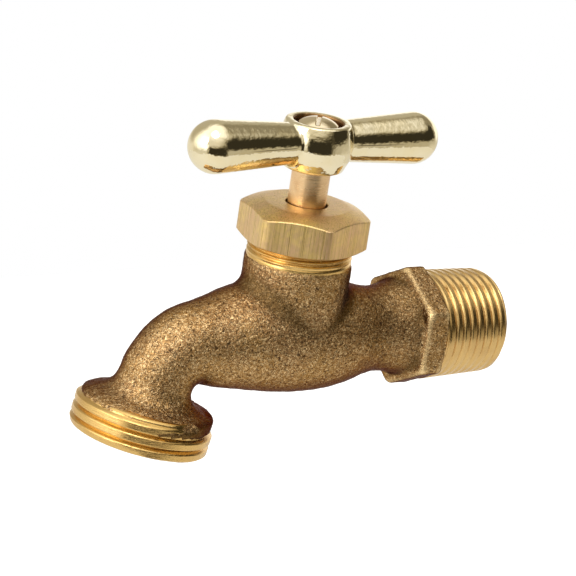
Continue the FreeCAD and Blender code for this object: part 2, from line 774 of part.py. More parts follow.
def handle_screw():
    """The domed screw that clamps the handle on the stem."""
    shoulder = RECESS_FLOOR + S.handle_screw_side
    crown = shoulder + S.handle_screw_dome
    end = RECESS_FLOOR - S.handle_screw_length
    shank = S.handle_screw_radius
    body = turned("handle_screw", [
        (ZERO, end),
        (shank / 2, end),
        (shank, end + shank / 2),
        (shank, RECESS_FLOOR),
        (S.handle_screw_head, RECESS_FLOOR),
        (S.handle_screw_head, shoulder),
        (ZERO, crown),
    ], {5: -dome_arc(S.handle_screw_head, S.handle_screw_dome)}, turn=S.slot_turn)
    slot_across(body, "handle_screw_slot", crown, up=True)
    return body


def stem():
    """The rising stem: washer cup, coarse thread, plain shank and the square under the handle."""
    cup_inner = S.washer_radius + S.washer_fit
    cup_outer = cup_inner + S.cup_wall
    cup_foot = WASHER_TOP - S.cup_depth
    cup_top = WASHER_TOP + S.cup_back
    thread_foot = cup_top + S.undercut_width
    bottom_hole = S.washer_bore - S.washer_fit + S.screw_fit
    bottom_end = S.seat_top + S.washer_screw_length + S.hole_spare
    top_hole = S.handle_screw_radius + S.screw_fit
    top_end = RECESS_FLOOR - S.handle_screw_length - S.hole_spare
    square_top = SQUARE_FOOT + S.square_length
    body = turned("stem", [
        (ZERO, bottom_end),
        (bottom_hole, bottom_end),
        (bottom_hole, WASHER_TOP),
        (cup_inner, WASHER_TOP),
        (cup_inner, cup_foot),
        (cup_outer, cup_foot),
        (cup_outer, cup_top),
        (S.undercut_radius, cup_top),
        (S.undercut_radius, thread_foot),
        (STEM_THREAD_RADIUS, thread_foot),
        (STEM_THREAD_RADIUS, STEM_THREAD_TOP - S.stem_shoulder_slope),
        (S.stem_radius, STEM_THREAD_TOP),
        (S.stem_radius, square_top),
        (top_hole, square_top),
        (top_hole, top_end),
        (ZERO, top_end),
    ], turn=S.handle_turn)
    flats = new_sketch(body, "square_outline", "XY_Plane", base=(ZERO, ZERO, SQUARE_FOOT))
    half = S.square_flats / 2
    draw_circle(flats, ZERO, ZERO, S.stem_radius + CLEAR)
    square_hole(flats, half)
    pocket(body, flats, "square_flats", S.square_length, reverse=True)
    return body


def square_hole(sketch, half):
    """A square outline drawn after a circle in the same sketch."""
    corners = [(-half, -half), (half, -half), (half, half), (-half, half)]
    first = sketch.GeometryCount
    points = [Vector(x.value, y.value, 0) for x, y in corners]
    for index, start in enumerate(points):
        sketch.addGeometry(Part.LineSegment(start, points[(index + 1) % len(points)]), False)
    for index, (x, y) in enumerate(corners):
        before = first + (index - 1) % len(points)
        sketch.addConstraint(Sketcher.Constraint("Coincident", before, 2, first + index, 1))
        pin_point(sketch, first + index, 1, x, y)


def tee_handle():
    """The handle: a barrel-shaped hub with two arms that swell into balls."""
    body = new_body("tee_handle")
    body.Placement = Placement(body.Placement.Base, Rotation(Vector(0, 0, 1), S.handle_turn.value))
    bind(body, "Placement.Rotation.Angle", S.handle_turn)
    arms = new_sketch(body, "arm_outline", "XZ_Plane", base=(ZERO, S.handle_height, ZERO))
    lean = (S.ball_radius - S.arm_radius) / (S.arm_reach - S.hub_radius)
    touch_x = S.arm_reach - S.ball_radius * lean
    touch_y = S.ball_radius * root(plain(1) - lean * lean)
    tip = S.arm_reach + S.ball_radius
    waist = touch_y - touch_x * lean
    draw_outline(arms, [
        (-tip, ZERO),
        (-touch_x, touch_y),
        (ZERO, waist),
        (touch_x, touch_y),
        (tip, ZERO),
    ], {0: S.ball_radius, 3: S.ball_radius})
    spin(body, arms, "arms", axis="H_Axis")
    hub = new_sketch(body, "hub_outline", "XZ_Plane")
    draw_outline(hub, [
        (ZERO, S.hub_bottom),
        (S.hub_foot_radius, S.hub_bottom),
        (S.hub_waist_radius, S.hub_bottom + S.hub_waist_rise),
        (S.hub_radius, S.hub_top - S.hub_rim_drop),
        (S.hub_rim_radius, S.hub_top),
        (ZERO, S.hub_top),
    ], {3: -dome_arc(S.hub_rim_drop, S.hub_radius - S.hub_rim_radius)})
    spin(body, hub, "hub")
    recess = new_sketch(body, "recess_outline", "XZ_Plane")
    socket = S.stem_radius + S.socket_fit
    draw_outline(recess, [
        (ZERO, RECESS_FLOOR),
        (S.recess_radius - S.recess_draft, RECESS_FLOOR),
        (S.recess_radius, S.hub_top + CLEAR),
        (ZERO, S.hub_top + CLEAR),
    ])
    spin(body, recess, "screw_recess", cut=True)
    round_hole = new_sketch(body, "socket_outline", "XY_Plane", base=(ZERO, ZERO, S.hub_bottom))
    draw_circle(round_hole, ZERO, ZERO, socket)
    pocket(body, round_hole, "socket", S.socket_depth, reverse=True)
    square = new_sketch(body, "broach_outline", "XY_Plane", base=(ZERO, ZERO, SQUARE_FOOT))
    square_hole(square, S.square_flats / 2 + S.square_fit)
    pocket(body, square, "broach", RECESS_FLOOR - SQUARE_FOOT, reverse=True)
    return body


PIECES = [body_casting, bonnet_cap, friction_ring, packing_ring, stem, seat_washer, washer_screw,
          tee_handle, handle_screw]


def check_document():
    """Stop if any feature failed."""
    for item in DOC.Objects:
        bad = [word for word in item.State if word in ("Invalid", "Error")]
        if bad:
            raise RuntimeError(f"{item.Label} failed: {item.State}")


def write_pieces(bodies):
    """Check each piece's solid and write it under its own name."""
    os.makedirs("parts", exist_ok=True)
    for body in bodies:
        shape = body.Shape
        if shape.isNull() or not shape.isValid() or not shape.Solids:
            raise RuntimeError(f"{body.Label} has no good solid")
        shape.exportStep(os.path.join("parts", f"{body.Label}.step"))
        box = shape.BoundBox
        print(f"{body.Label}: {len(shape.Solids)} solid, {shape.Volume:.0f} mm3, "
              f"x {box.XMin:.2f} to {box.XMax:.2f}, y {box.YMin:.2f} to {box.YMax:.2f}, "
              f"z {box.ZMin:.2f} to {box.ZMax:.2f}")


def main():
    bodies = [make() for make in PIECES]
    DOC.recompute()
    check_document()
    write_pieces(bodies)


main()
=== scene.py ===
# %% [markdown]
# # A brass hose bibb
# This is a garden tap: a rough sand-cast body between a tapered pipe thread and a hose thread, a
# hexagon packing nut on its neck, a rising stem and a polished tee handle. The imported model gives
# every piece its place and size. This lesson gives the pieces their surfaces, cuts the real
# threads and lights the tap like the photograph.

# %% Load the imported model
import json
import math

import bmesh
import bpy
import numpy
from mathutils import Matrix, Vector, noise


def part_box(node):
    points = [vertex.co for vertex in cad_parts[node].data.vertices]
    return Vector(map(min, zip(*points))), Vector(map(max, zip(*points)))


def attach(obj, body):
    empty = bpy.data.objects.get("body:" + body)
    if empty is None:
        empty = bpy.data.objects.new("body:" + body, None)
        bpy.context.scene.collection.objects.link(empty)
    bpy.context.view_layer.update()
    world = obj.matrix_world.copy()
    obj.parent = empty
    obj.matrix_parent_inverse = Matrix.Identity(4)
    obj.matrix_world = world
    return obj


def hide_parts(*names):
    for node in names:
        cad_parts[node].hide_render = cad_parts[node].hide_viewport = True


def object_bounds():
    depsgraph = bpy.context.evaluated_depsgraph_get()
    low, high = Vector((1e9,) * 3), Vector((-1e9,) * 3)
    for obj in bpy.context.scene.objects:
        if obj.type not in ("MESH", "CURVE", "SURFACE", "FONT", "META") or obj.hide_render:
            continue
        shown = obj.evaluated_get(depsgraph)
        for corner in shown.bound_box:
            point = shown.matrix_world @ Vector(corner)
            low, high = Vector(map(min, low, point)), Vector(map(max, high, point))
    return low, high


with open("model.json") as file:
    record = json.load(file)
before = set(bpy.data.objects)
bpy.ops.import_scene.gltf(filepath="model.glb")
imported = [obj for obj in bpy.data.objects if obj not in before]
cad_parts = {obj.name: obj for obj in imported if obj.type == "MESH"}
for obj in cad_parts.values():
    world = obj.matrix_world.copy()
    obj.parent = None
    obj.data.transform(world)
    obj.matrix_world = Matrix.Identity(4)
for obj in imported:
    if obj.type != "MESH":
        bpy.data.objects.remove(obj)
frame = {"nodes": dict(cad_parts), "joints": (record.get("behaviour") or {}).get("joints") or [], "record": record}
cad_low, cad_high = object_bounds()
nodes = frame["nodes"]
print("nodes:", ", ".join(sorted(nodes)))

# %% [markdown]
# ## Where things are
# The frame is in metres and lengths on a tap are easier to read in millimetres, so one value turns
# millimetres into metres. The record already says where the outlet ends, which way it points and
# where the stem's axis stands, so these places are read from it and not typed again.

# %% Read the axes from the record
MM = 0.001
mounts = {mount["name"]: mount for mount in frame["record"]["mounts"]}
joints = {joint["name"]: joint for joint in frame["joints"]}
stem_x = joints["handle_turn"]["pos_m"][0]
outlet_out = Vector(mounts["hose_thread"]["axis"]).normalized()
outlet_seat = Vector(mounts["hose_seat"]["pos_m"])
outlet_end = Vector((outlet_seat.x, 0, outlet_seat.z))
hose_radius = mounts["hose_thread"]["dims"]["r_mm"] * MM
hose_length = 2 * (outlet_end - Vector(mounts["hose_thread"]["pos_m"])).dot(outlet_out)
print(f"stem axis at x {stem_x:.4f}, outlet end {tuple(round(v, 4) for v in outlet_end)}")
print(f"hose thread: radius {hose_radius / MM:.2f} mm, length {hose_length / MM:.2f} mm")

# %% [markdown]
# ## Three small helpers
# The camera, the lamps and every new piece are put in the scene in the same way, and the world and
# every material start from an empty sheet of nodes. New meshes are made from their corners.

# %% Helpers for new things


def new_object(name, data):
    """A new object in the scene for a mesh, a lamp or a camera."""
    thing = bpy.data.objects.new(name, data)
    bpy.context.scene.collection.objects.link(thing)
    return thing


def new_mesh(name, corners, faces):
    mesh = bpy.data.meshes.new(name)
    mesh.from_pydata(corners, [], faces)
    return mesh


def empty_tree(owner):
    """The node tree of a world or a material, with nothing in it yet."""
    owner.use_nodes = True
    owner.node_tree.nodes.clear()
    return owner.node_tree


print("helpers for new things ready")

# %% [markdown]
# ## The camera
# The photograph was taken from a little above and to the left, with a long lens, and the tap
# hangs in it with a slight roll. Turning the camera about its own line of sight gives that roll.
# The camera's place follows from its distance and from where the stem's axis meets the inlet's.

# %% Set up the camera
IMAGE_PIXELS = 576
SENSOR_MM = 36.0
AZIMUTH, ELEVATION, ROLL = (math.radians(angle) for angle in (-35.548, 18.309, 8.567))
DISTANCE = 519.6 * MM
PIXELS_PER_MM = 5.183
SHIFT_RIGHT, SHIFT_UP = -0.261 * MM, -9.014 * MM
NEAREST, FARTHEST = 0.01, 20


def camera_axes():
    """Right, up and forward of the rolled camera, in the row frame."""
    forward = Vector((-math.sin(AZIMUTH) * math.cos(ELEVATION),
                      math.cos(AZIMUTH) * math.cos(ELEVATION), -math.sin(ELEVATION)))
    right = Vector((math.cos(AZIMUTH), math.sin(AZIMUTH), 0))
    up = right.cross(forward)
    turned_right = right * math.cos(ROLL) + up * math.sin(ROLL)
    turned_up = up * math.cos(ROLL) - right * math.sin(ROLL)
    return turned_right, turned_up, forward


def make_camera():
    right, up, forward = camera_axes()
    lens = bpy.data.cameras.new("photo_camera")
    lens.sensor_width = SENSOR_MM
    lens.lens = PIXELS_PER_MM * DISTANCE / MM / IMAGE_PIXELS * SENSOR_MM
    lens.clip_start, lens.clip_end = NEAREST, FARTHEST
    camera = new_object("photo_camera", lens)
    turn = Matrix((right, up, -forward)).transposed().to_4x4()
    place = Vector((stem_x, 0, 0)) - right * SHIFT_RIGHT - up * SHIFT_UP - forward * DISTANCE
    camera.matrix_world = Matrix.Translation(place) @ turn
    bpy.context.scene.camera = camera
    return camera


camera = make_camera()
print(f"camera: {camera.data.lens:.1f} mm lens at {tuple(round(v, 3) for v in camera.location)}")

# %% [markdown]
# ## Helpers for shader nodes
# The world and the materials are built from nodes. These helpers keep that readable: one adds a
# node and sets its inputs, one links two sockets, and three do the sums that come back everywhere.
# A socket is given by its name, or by 0 where it is the only one. The sockets of a Mix node share
# their names, so they are given by their places.

# %% Helpers for node trees
MIX_FACTOR, MIX_NUMBER_A, MIX_NUMBER_B, MIX_COLOUR_A, MIX_COLOUR_B = 0, 2, 3, 6, 7
MIXED_NUMBER, MIXED_COLOUR = 0, 2


def add(tree, kind, inputs=None, **settings):
    """A new node with its settings and its unlinked input values."""
    node = tree.nodes.new(kind)
    for key, value in settings.items():
        setattr(node, key, value)
    for key, value in (inputs or {}).items():
        node.inputs[key].default_value = value
    return node


def link(tree, source, output, target, entry):
    tree.links.new(source.outputs[output], target.inputs[entry])


def span(tree, source, output, low, high, to_low=0.0, to_high=1.0, smooth=False):
    """Map a value from one range to another, clamped."""
    kind = "SMOOTHSTEP" if smooth else "LINEAR"
    node = add(tree, "ShaderNodeMapRange", {"From Min": low, "From Max": high,
                                            "To Min": to_low, "To Max": to_high},
               interpolation_type=kind)
    link(tree, source, output, node, "Value")
    return node


def arithmetic(tree, operation, first, second):
    """A Math node; each operand is a number or a (node, output) pair."""
    node = add(tree, "ShaderNodeMath", operation=operation)
    for index, operand in enumerate((first, second)):
        if isinstance(operand, tuple):
            link(tree, *operand, node, index)
        else:
            node.inputs[index].default_value = operand
    return node


def mix_colours(tree, factor, first, second):
    """A colour mix as a (node, output) pair.

    The factor is such a pair too, and each colour is one or a plain red, green and blue.
    """
    node = add(tree, "ShaderNodeMix", data_type="RGBA")
    for entry, part in ((MIX_FACTOR, factor), (MIX_COLOUR_A, first), (MIX_COLOUR_B, second)):
        if isinstance(part[0], bpy.types.Node):
            link(tree, *part, node, entry)
        else:
            node.inputs[entry].default_value = (*part, 1)
    return node, MIXED_COLOUR


print("node helpers ready")

# %% [markdown]
# ## The studio
# Polished brass shows the room more than itself, and the handle is a mirror that tells where the
# lights stood: a wide soft light overhead that reaches lower in front, another light on the left,
# a white table below, panels behind, a dim corner high on the right, and darkness on the camera's
# side. That darkness is the ragged olive band along the handle. The world is built as patches by
# bearing (from the front, to the right) and height, laid over each other in this order. The camera
# itself sees plain white past the tap.

# %% Build the world
ROOM_LEVEL = 0.5
DIM_TINT, BRIGHT_TINT = (1, 0.86, 0.54), (1, 0.985, 0.955)
PATCHES = (
    # level, bearings where it fades in and out, heights where it fades in and out, in degrees
    (0.8, (-400, -390, 390, 400), (-100, -95, -30, 0)),
    (0.5, (10, 28, 46, 64), (-26, -18, -6, 2)),
    (0.85, (-200, -190, -145, -115), (-60, -45, -12, 8)),
    (0.85, (130, 150, 190, 200), (-60, -45, -12, 8)),
    (0.28, (66, 84, 122, 138), (14, 28, 46, 60)),
    (1.25, (84, 102, 142, 160), (-16, -3, 9, 23)),
    (0.035, (-68, -50, 14, 34), (-27, -16, 8, 27)),
    (0.035, (5, 28, 78, 94), (-6, 3, 32, 46)),
    (2.3, (-160, -88, -72, -50), (-18, 12, 80, 90)),
    (0.8, (-80, -62, -30, 22), (4, 22, 80, 90)),
    (1.2, (-125, -90, 34, 74), (27, 62, 100, 110)),
    (1.35, (-400, -390, 390, 400), (48, 72, 100, 110)),
)


def window(tree, source, stops):
    """1 inside a range and 0 outside, fading between the four stops."""
    first, second, third, fourth = (math.radians(stop) for stop in stops)
    rise = span(tree, source, 0, first, second, smooth=True)
    fall = span(tree, source, 0, third, fourth, 1.0, 0.0, smooth=True)
    return arithmetic(tree, "MULTIPLY", (rise, 0), (fall, 0))


def room_level(tree):
    """The room's brightness by direction, one patch laid over another; it comes out of 0."""
    towards = add(tree, "ShaderNodeTexCoord")
    parts = add(tree, "ShaderNodeSeparateXYZ")
    link(tree, towards, "Generated", parts, 0)
    front = arithmetic(tree, "MULTIPLY", (parts, "Y"), -1.0)
    bearing = arithmetic(tree, "ARCTAN2", (parts, "X"), (front, 0))
    height = arithmetic(tree, "ARCSINE", (parts, "Z"), 0.0)
    level = add(tree, "ShaderNodeValue")
    level.outputs[0].default_value = ROOM_LEVEL
    for brightness, bearings, heights in PATCHES:
        across = window(tree, bearing, bearings)
        upright = window(tree, height, heights)
        mask = arithmetic(tree, "MULTIPLY", (across, 0), (upright, 0))
        over = add(tree, "ShaderNodeMix", {MIX_NUMBER_B: brightness})
        link(tree, mask, 0, over, MIX_FACTOR)
        link(tree, level, 0, over, MIX_NUMBER_A)
        level = over
    return level


def make_world():
    world = bpy.data.worlds.new("studio")
    bpy.context.scene.world = world
    tree = empty_tree(world)
    level = room_level(tree)
    tint = mix_colours(tree, (level, MIXED_NUMBER), DIM_TINT, BRIGHT_TINT)
    room = add(tree, "ShaderNodeBackground")
    link(tree, *tint, room, "Color")
    link(tree, level, MIXED_NUMBER, room, "Strength")
    white = add(tree, "ShaderNodeBackground", {"Color": (1, 1, 1, 1), "Strength": 1.0})
    path = add(tree, "ShaderNodeLightPath")
    last = add(tree, "ShaderNodeMixShader")
    link(tree, path, "Is Camera Ray", last, 0)
    link(tree, room, 0, last, 1)
    link(tree, white, 0, last, 2)
    output = add(tree, "ShaderNodeOutputWorld")
    link(tree, last, 0, output, "Surface")


make_world()
bpy.context.scene.view_settings.view_transform = "Standard"
print(f"world: level {ROOM_LEVEL} and {len(PATCHES)} patches, white for the camera")

# %% [markdown]
# ## Lamps and floor
# The patches already light the tap. Two weak round lamps inside the bright ones add the small
# glints that a cast skin shows. The floor is a white table that ends half a metre away, well
# below the tap, because the photograph shows neither its edge nor a shadow. It glows for the
# camera, so that it looks as white as the world behind it.

# %% Place the lamps and the floor
TAP_CENTRE = (cad_low + cad_high) / 2
LAMP_DISTANCE = 700 * MM
FLOOR_DEPTH = 160 * MM
FLOOR_REACH = 500 * MM
FLOOR_PAINT = (0.78, 0.78, 0.78)
FLOOR_GLOW, MORE_FOR_THE_CAMERA = 0.05, 0.6


def softbox(name, bearing, height, size, power):
    """A round lamp that looks at the tap from a bearing (degrees from the front) and a height."""
    data = bpy.data.lights.new(name, "AREA")
    data.shape, data.size, data.energy = "DISK", size, power
    lamp = new_object(name, data)
    flat, up = math.radians(bearing), math.radians(height)
    away = Vector((math.sin(flat) * math.cos(up), -math.cos(flat) * math.cos(up), math.sin(up)))
    lamp.location = TAP_CENTRE + away * LAMP_DISTANCE
    lamp.rotation_mode = "QUATERNION"
    lamp.rotation_quaternion = away.to_track_quat("Z", "Y")


softbox("overhead_softbox", bearing=-40, height=66, size=0.35, power=0.8)
softbox("left_softbox", bearing=-80, height=28, size=0.3, power=0.6)


def make_floor():
    top = cad_low.z - FLOOR_DEPTH
    low_x, high_x = TAP_CENTRE.x - FLOOR_REACH, TAP_CENTRE.x + FLOOR_REACH
    mesh = new_mesh("floor", [(low_x, -FLOOR_REACH, top), (high_x, -FLOOR_REACH, top),
                              (high_x, FLOOR_REACH, top), (low_x, FLOOR_REACH, top)],
                    [(0, 1, 2, 3)])
    floor = new_object("floor", mesh)
    paint = bpy.data.materials.new("floor_white")
    tree = empty_tree(paint)
    matt = add(tree, "ShaderNodeBsdfDiffuse", {"Color": (*FLOOR_PAINT, 1)})
    glow = add(tree, "ShaderNodeEmission", {"Color": (1, 1, 1, 1)})
    path = add(tree, "ShaderNodeLightPath")
    lift = arithmetic(tree, "MULTIPLY", (path, "Is Camera Ray"), MORE_FOR_THE_CAMERA)
    level = arithmetic(tree, "ADD", (lift, 0), FLOOR_GLOW)
    link(tree, level, 0, glow, "Strength")
    both = add(tree, "ShaderNodeAddShader")
    link(tree, matt, 0, both, 0)
    link(tree, glow, 0, both, 1)
    output = add(tree, "ShaderNodeOutputMaterial")
    link(tree, both, 0, output, "Surface")
    mesh.materials.append(paint)


make_floor()
print(f"floor {FLOOR_DEPTH / MM:.0f} mm under the tap")

# %% [markdown]
# ## Grain that several finishes share
# Cast, drawn and polished brass all carry a fine mottling and lines or lumps at some scale. A
# node group builds each effect once, and a material then places it with its own sizes. All sizes
# are given as a number per metre.

# %% Node group: cast grain


def new_group(name, inputs, outputs):
    """An empty shader node group with named float inputs and typed outputs."""
    tree = bpy.data.node_groups.new(name, "ShaderNodeTree")
    for label, value in inputs:
        socket = tree.interface.new_socket(label, in_out="INPUT", socket_type="NodeSocketFloat")
        socket.default_value = value
    for label, kind in outputs:
        tree.interface.new_socket(label, in_out="OUTPUT", socket_type=kind)
    return tree, tree.nodes.new("NodeGroupInput"), tree.nodes.new("NodeGroupOutput")


def noise_node(tree, where, scale, detail, roughness):
    """Noise over the object's own coordinates; scale is a number or a (node, output) pair."""
    node = add(tree, "ShaderNodeTexNoise", {"Detail": detail, "Roughness": roughness})
    link(tree, where, "Object", node, "Vector")
    if isinstance(scale, tuple):
        link(tree, *scale, node, "Scale")
    else:
        node.inputs["Scale"].default_value = scale
    return node


def cast_grain_group():
    """Sand grains: masks of bright flakes and dark pits, the height of both, and low swells."""
    tree, entry, leave = new_group(
        "cast_grain", [("Grains per metre", 2400.0), ("Lumps per metre", 700.0)],
        [("Specks", "NodeSocketFloat"), ("Pits", "NodeSocketFloat"), ("Height", "NodeSocketFloat"),
         ("Swell", "NodeSocketFloat")])
    where = add(tree, "ShaderNodeTexCoord")
    grains = noise_node(tree, where, (entry, "Grains per metre"), detail=3.0, roughness=0.65)
    grains.inputs["Distortion"].default_value = 1.2
    lumps = noise_node(tree, where, (entry, "Lumps per metre"), detail=2.0, roughness=0.5)
    finer = arithmetic(tree, "MULTIPLY", (entry, "Grains per metre"), 1.25)
    flakes = noise_node(tree, where, (finer, 0), detail=1.0, roughness=0.5)
    flakes.inputs["Distortion"].default_value = 1.5
    specks = span(tree, flakes, "Fac", 0.5, 0.68, smooth=True)
    pits = span(tree, grains, "Fac", 0.52, 0.36, smooth=True)
    low = arithmetic(tree, "MULTIPLY", (lumps, "Fac"), 0.8)
    height = arithmetic(tree, "ADD", (grains, "Fac"), (low, 0))
    link(tree, specks, 0, leave, "Specks")
    link(tree, pits, 0, leave, "Pits")
    link(tree, height, 0, leave, "Height")
    link(tree, lumps, "Fac", leave, "Swell")
    return tree


cast_grain = cast_grain_group()
print("group:", cast_grain.name)

# %% Node group: tarnish clouds


def tarnish_group():
    """Broad clouds that shift a brass between its clean and its tarnished colour."""
    tree, entry, leave = new_group("tarnish", [("Clouds per metre", 120.0), ("Amount", 0.5)],
                                   [("Mask", "NodeSocketFloat")])
    where = add(tree, "ShaderNodeTexCoord")
    clouds = noise_node(tree, where, (entry, "Clouds per metre"), detail=4.0, roughness=0.6)
    stretched = span(tree, clouds, "Fac", 0.35, 0.65, smooth=True)
    mask = arithmetic(tree, "MULTIPLY", (stretched, 0), (entry, "Amount"))
    link(tree, mask, 0, leave, "Mask")
    return tree


tarnish = tarnish_group()
print("group:", tarnish.name)

# %% Node group: tool lines


def tool_lines_group():
    """Fine lines left by a cutter or a drawing die, along one axis or round it."""
    tree, entry, leave = new_group(
        "tool_lines", [("Along X", 60.0), ("Along Y", 60.0), ("Along Z", 60.0)],
        [("Mask", "NodeSocketFloat")])
    where = add(tree, "ShaderNodeTexCoord")
    scales = add(tree, "ShaderNodeCombineXYZ")
    for axis in "XYZ":
        link(tree, entry, f"Along {axis}", scales, axis)
    placed = add(tree, "ShaderNodeVectorMath", operation="MULTIPLY")
    link(tree, where, "Object", placed, 0)
    link(tree, scales, 0, placed, 1)
    lines = add(tree, "ShaderNodeTexNoise", {"Scale": 1.0, "Detail": 3.0, "Roughness": 0.7})
    link(tree, placed, 0, lines, "Vector")
    link(tree, lines, "Fac", leave, "Mask")
    return tree


tool_lines = tool_lines_group()
print("group:", tool_lines.name)

# %% [markdown]
# ## Brass in its finishes
# Brass is a metal, so the Principled shader is fully metallic and its base colour is the tint of
# its reflection. What tells the finishes apart is the colour that casting, drawing or plating
# leaves, how rough the surface is and how it is broken up.

# %% A new material and its parts


def new_material(name, colour, roughness, metallic=1.0):
    """A material with one Principled shader; also its node tree and that shader."""
    material = bpy.data.materials.new(name)
    tree = empty_tree(material)
    shader = add(tree, "ShaderNodeBsdfPrincipled",
                 {"Base Color": (*colour, 1), "Roughness": roughness, "Metallic": metallic})
    output = add(tree, "ShaderNodeOutputMaterial")
    link(tree, shader, "BSDF", output, "Surface")
    return material, tree, shader


def place_group(tree, group, values):
    """A node group in a material, with the material's own values."""
    node = add(tree, "ShaderNodeGroup", node_tree=group)
    for key, value in values.items():
        node.inputs[key].default_value = value
    return node


def bump(tree, shader, source, output, distance):
    """Let a height with the given depth in metres tilt the shader's surface."""
    node = add(tree, "ShaderNodeBump", {"Distance": distance, "Strength": 1.0})
    link(tree, source, output, node, "Height")
    link(tree, node, "Normal", shader, "Normal")


print("material helpers ready")

# %% Cast brass
CAST_CLEAN, CAST_TARNISHED = (0.465, 0.266, 0.094), (0.38, 0.213, 0.098)
CAST_PIT, CAST_FLAKE = (0.085, 0.046, 0.022), (0.88, 0.62, 0.32)
CAST_SHADE_AND_DARK_SKIN, CAST_RUBBED = (0.13, 0.075, 0.025), (0.95, 0.7, 0.36)
CAST_EDGE_ON_SHADE = (0.12, 0.075, 0.068)


def cast_brass_material():
    """Sand-cast brass: rough grains that shine where they face a light and show their dark sides.

    The less the skin stands out, the darker its colour is painted: painted shade in the hollows, with
    the tarnish a casting keeps there, and the uncut skin on the last crest is as dark; edges are
    rubbed bright. Seen edge-on, the colour is painted darker and more purple: painted shade.
    """
    material, tree, shader = new_material("cast_brass", (0.5, 0.29, 0.12), 0.4)
    shader.inputs["Specular Tint"].default_value = (0.35, 0.22, 0.2, 1)
    grain = place_group(tree, cast_grain, {"Grains per metre": 1900.0, "Lumps per metre": 600.0})
    clouds = place_group(tree, tarnish, {"Clouds per metre": 90.0, "Amount": 0.6})
    base = mix_colours(tree, (clouds, "Mask"), CAST_CLEAN, CAST_TARNISHED)
    pitted = mix_colours(tree, (grain, "Pits"), base, CAST_PIT)
    bright = mix_colours(tree, (grain, "Specks"), pitted, CAST_FLAKE)
    # Painted shade: sunk skin, and less so flat skin, is darkened in the colour, and so is the uncut crest.
    hollows = add(tree, "ShaderNodeAttribute", attribute_name="hollow")
    shade_and_skin_share = span(tree, hollows, "Fac", 0.0, 1.0, 0.0, 0.8)
    shade_and_skin_darkened = mix_colours(tree, (shade_and_skin_share, 0), bright, CAST_SHADE_AND_DARK_SKIN)
    edges = add(tree, "ShaderNodeAttribute", attribute_name="worn")
    rubbed = mix_colours(tree, (edges, "Fac"), shade_and_skin_darkened, CAST_RUBBED)
    # Painted shade: where the skin is seen edge-on, its colour turns darker and more purple.
    edge_on_view = add(tree, "ShaderNodeLayerWeight", {"Blend": 0.5})
    shaded = span(tree, edge_on_view, "Facing", 0.38, 0.94, 0.0, 0.85, smooth=True)
    last = mix_colours(tree, (shaded, 0), rubbed, CAST_EDGE_ON_SHADE)
    link(tree, *last, shader, "Base Color")
    rough = span(tree, grain, "Pits", 0.0, 1.0, 0.26, 0.42)
    link(tree, rough, 0, shader, "Roughness")
    bump(tree, shader, grain, "Height", 0.22 * MM)
    return material


cast_brass = cast_brass_material()
print("material:", cast_brass.name)

# %% Machined brass


def machined_brass_material(name, lines, clean, dull):
    """Fresh cut brass on the threads: clean gold with the cutter's fine lines round its axis.

    lines is how many there are in a metre along each of the three axes.
    """
    material, tree, shader = new_material(name, clean, 0.24)
    cuts = place_group(tree, tool_lines, dict(zip(("Along X", "Along Y", "Along Z"), lines)))
    clouds = place_group(tree, tarnish, {"Clouds per metre": 160.0, "Amount": 0.6})
    base = mix_colours(tree, (clouds, "Mask"), clean, dull)
    link(tree, *base, shader, "Base Color")
    rough = span(tree, cuts, "Mask", 0.3, 0.7, 0.17, 0.3)
    link(tree, rough, 0, shader, "Roughness")
    bump(tree, shader, cuts, "Mask", 0.04 * MM)
    return material


pipe_brass = machined_brass_material("pipe_thread_brass", lines=(6000.0, 300.0, 300.0),
                                     clean=(0.74, 0.5, 0.2), dull=(0.62, 0.39, 0.15))
hose_brass = machined_brass_material("hose_thread_brass", lines=(600.0, 300.0, 6000.0),
                                     clean=(0.8, 0.53, 0.19), dull=(0.68, 0.41, 0.13))
print("materials:", pipe_brass.name, hose_brass.name)

# %% Drawn brass
DRAWN_CLEAN, DRAWN_BLOOM = (0.96, 0.71, 0.28), (0.88, 0.58, 0.34)
DRAWN_SPOT, DRAWN_LINE = (0.74, 0.49, 0.27), (0.6, 0.42, 0.13)


def drawn_brass_material():
    """Hexagon bar: the die leaves lines along the bar, and handling leaves a pinkish bloom."""
    material, tree, shader = new_material("drawn_brass", (0.9, 0.63, 0.28), 0.3)
    drawn = place_group(tree, tool_lines,
                        {"Along X": 4200.0, "Along Y": 4200.0, "Along Z": 70.0})
    clouds = place_group(tree, tarnish, {"Clouds per metre": 170.0, "Amount": 1.0})
    base = mix_colours(tree, (clouds, "Mask"), DRAWN_CLEAN, DRAWN_BLOOM)
    spots = place_group(tree, tarnish, {"Clouds per metre": 900.0, "Amount": 0.6})
    spotted = mix_colours(tree, (spots, "Mask"), base, DRAWN_SPOT)
    dark = span(tree, drawn, "Mask", 0.6, 0.4, 0.0, 0.7)
    lined = mix_colours(tree, (dark, 0), spotted, DRAWN_LINE)
    link(tree, *lined, shader, "Base Color")
    rough = span(tree, drawn, "Mask", 0.3, 0.7, 0.24, 0.4)
    link(tree, rough, 0, shader, "Roughness")
    bump(tree, shader, drawn, "Mask", 0.07 * MM)
    return material


drawn_brass = drawn_brass_material()
print("material:", drawn_brass.name)

# %% Stem brass
STEM_CLEAN, STEM_DULL = (0.98, 0.7, 0.4), (0.84, 0.53, 0.27)


def stem_brass_material():
    """Turned rod, paler and pinker than the rest, with a few dull marks."""
    material, tree, shader = new_material("stem_brass", (0.94, 0.64, 0.35), 0.3)
    turned = place_group(tree, tool_lines, {"Along X": 200.0, "Along Y": 200.0, "Along Z": 5000.0})
    clouds = place_group(tree, tarnish, {"Clouds per metre": 260.0, "Amount": 0.7})
    base = mix_colours(tree, (clouds, "Mask"), STEM_CLEAN, STEM_DULL)
    link(tree, *base, shader, "Base Color")
    rough = span(tree, turned, "Mask", 0.3, 0.7, 0.24, 0.38)
    link(tree, rough, 0, shader, "Roughness")
    bump(tree, shader, turned, "Mask", 0.02 * MM)
    return material


stem_brass = stem_brass_material()
print("material:", stem_brass.name)

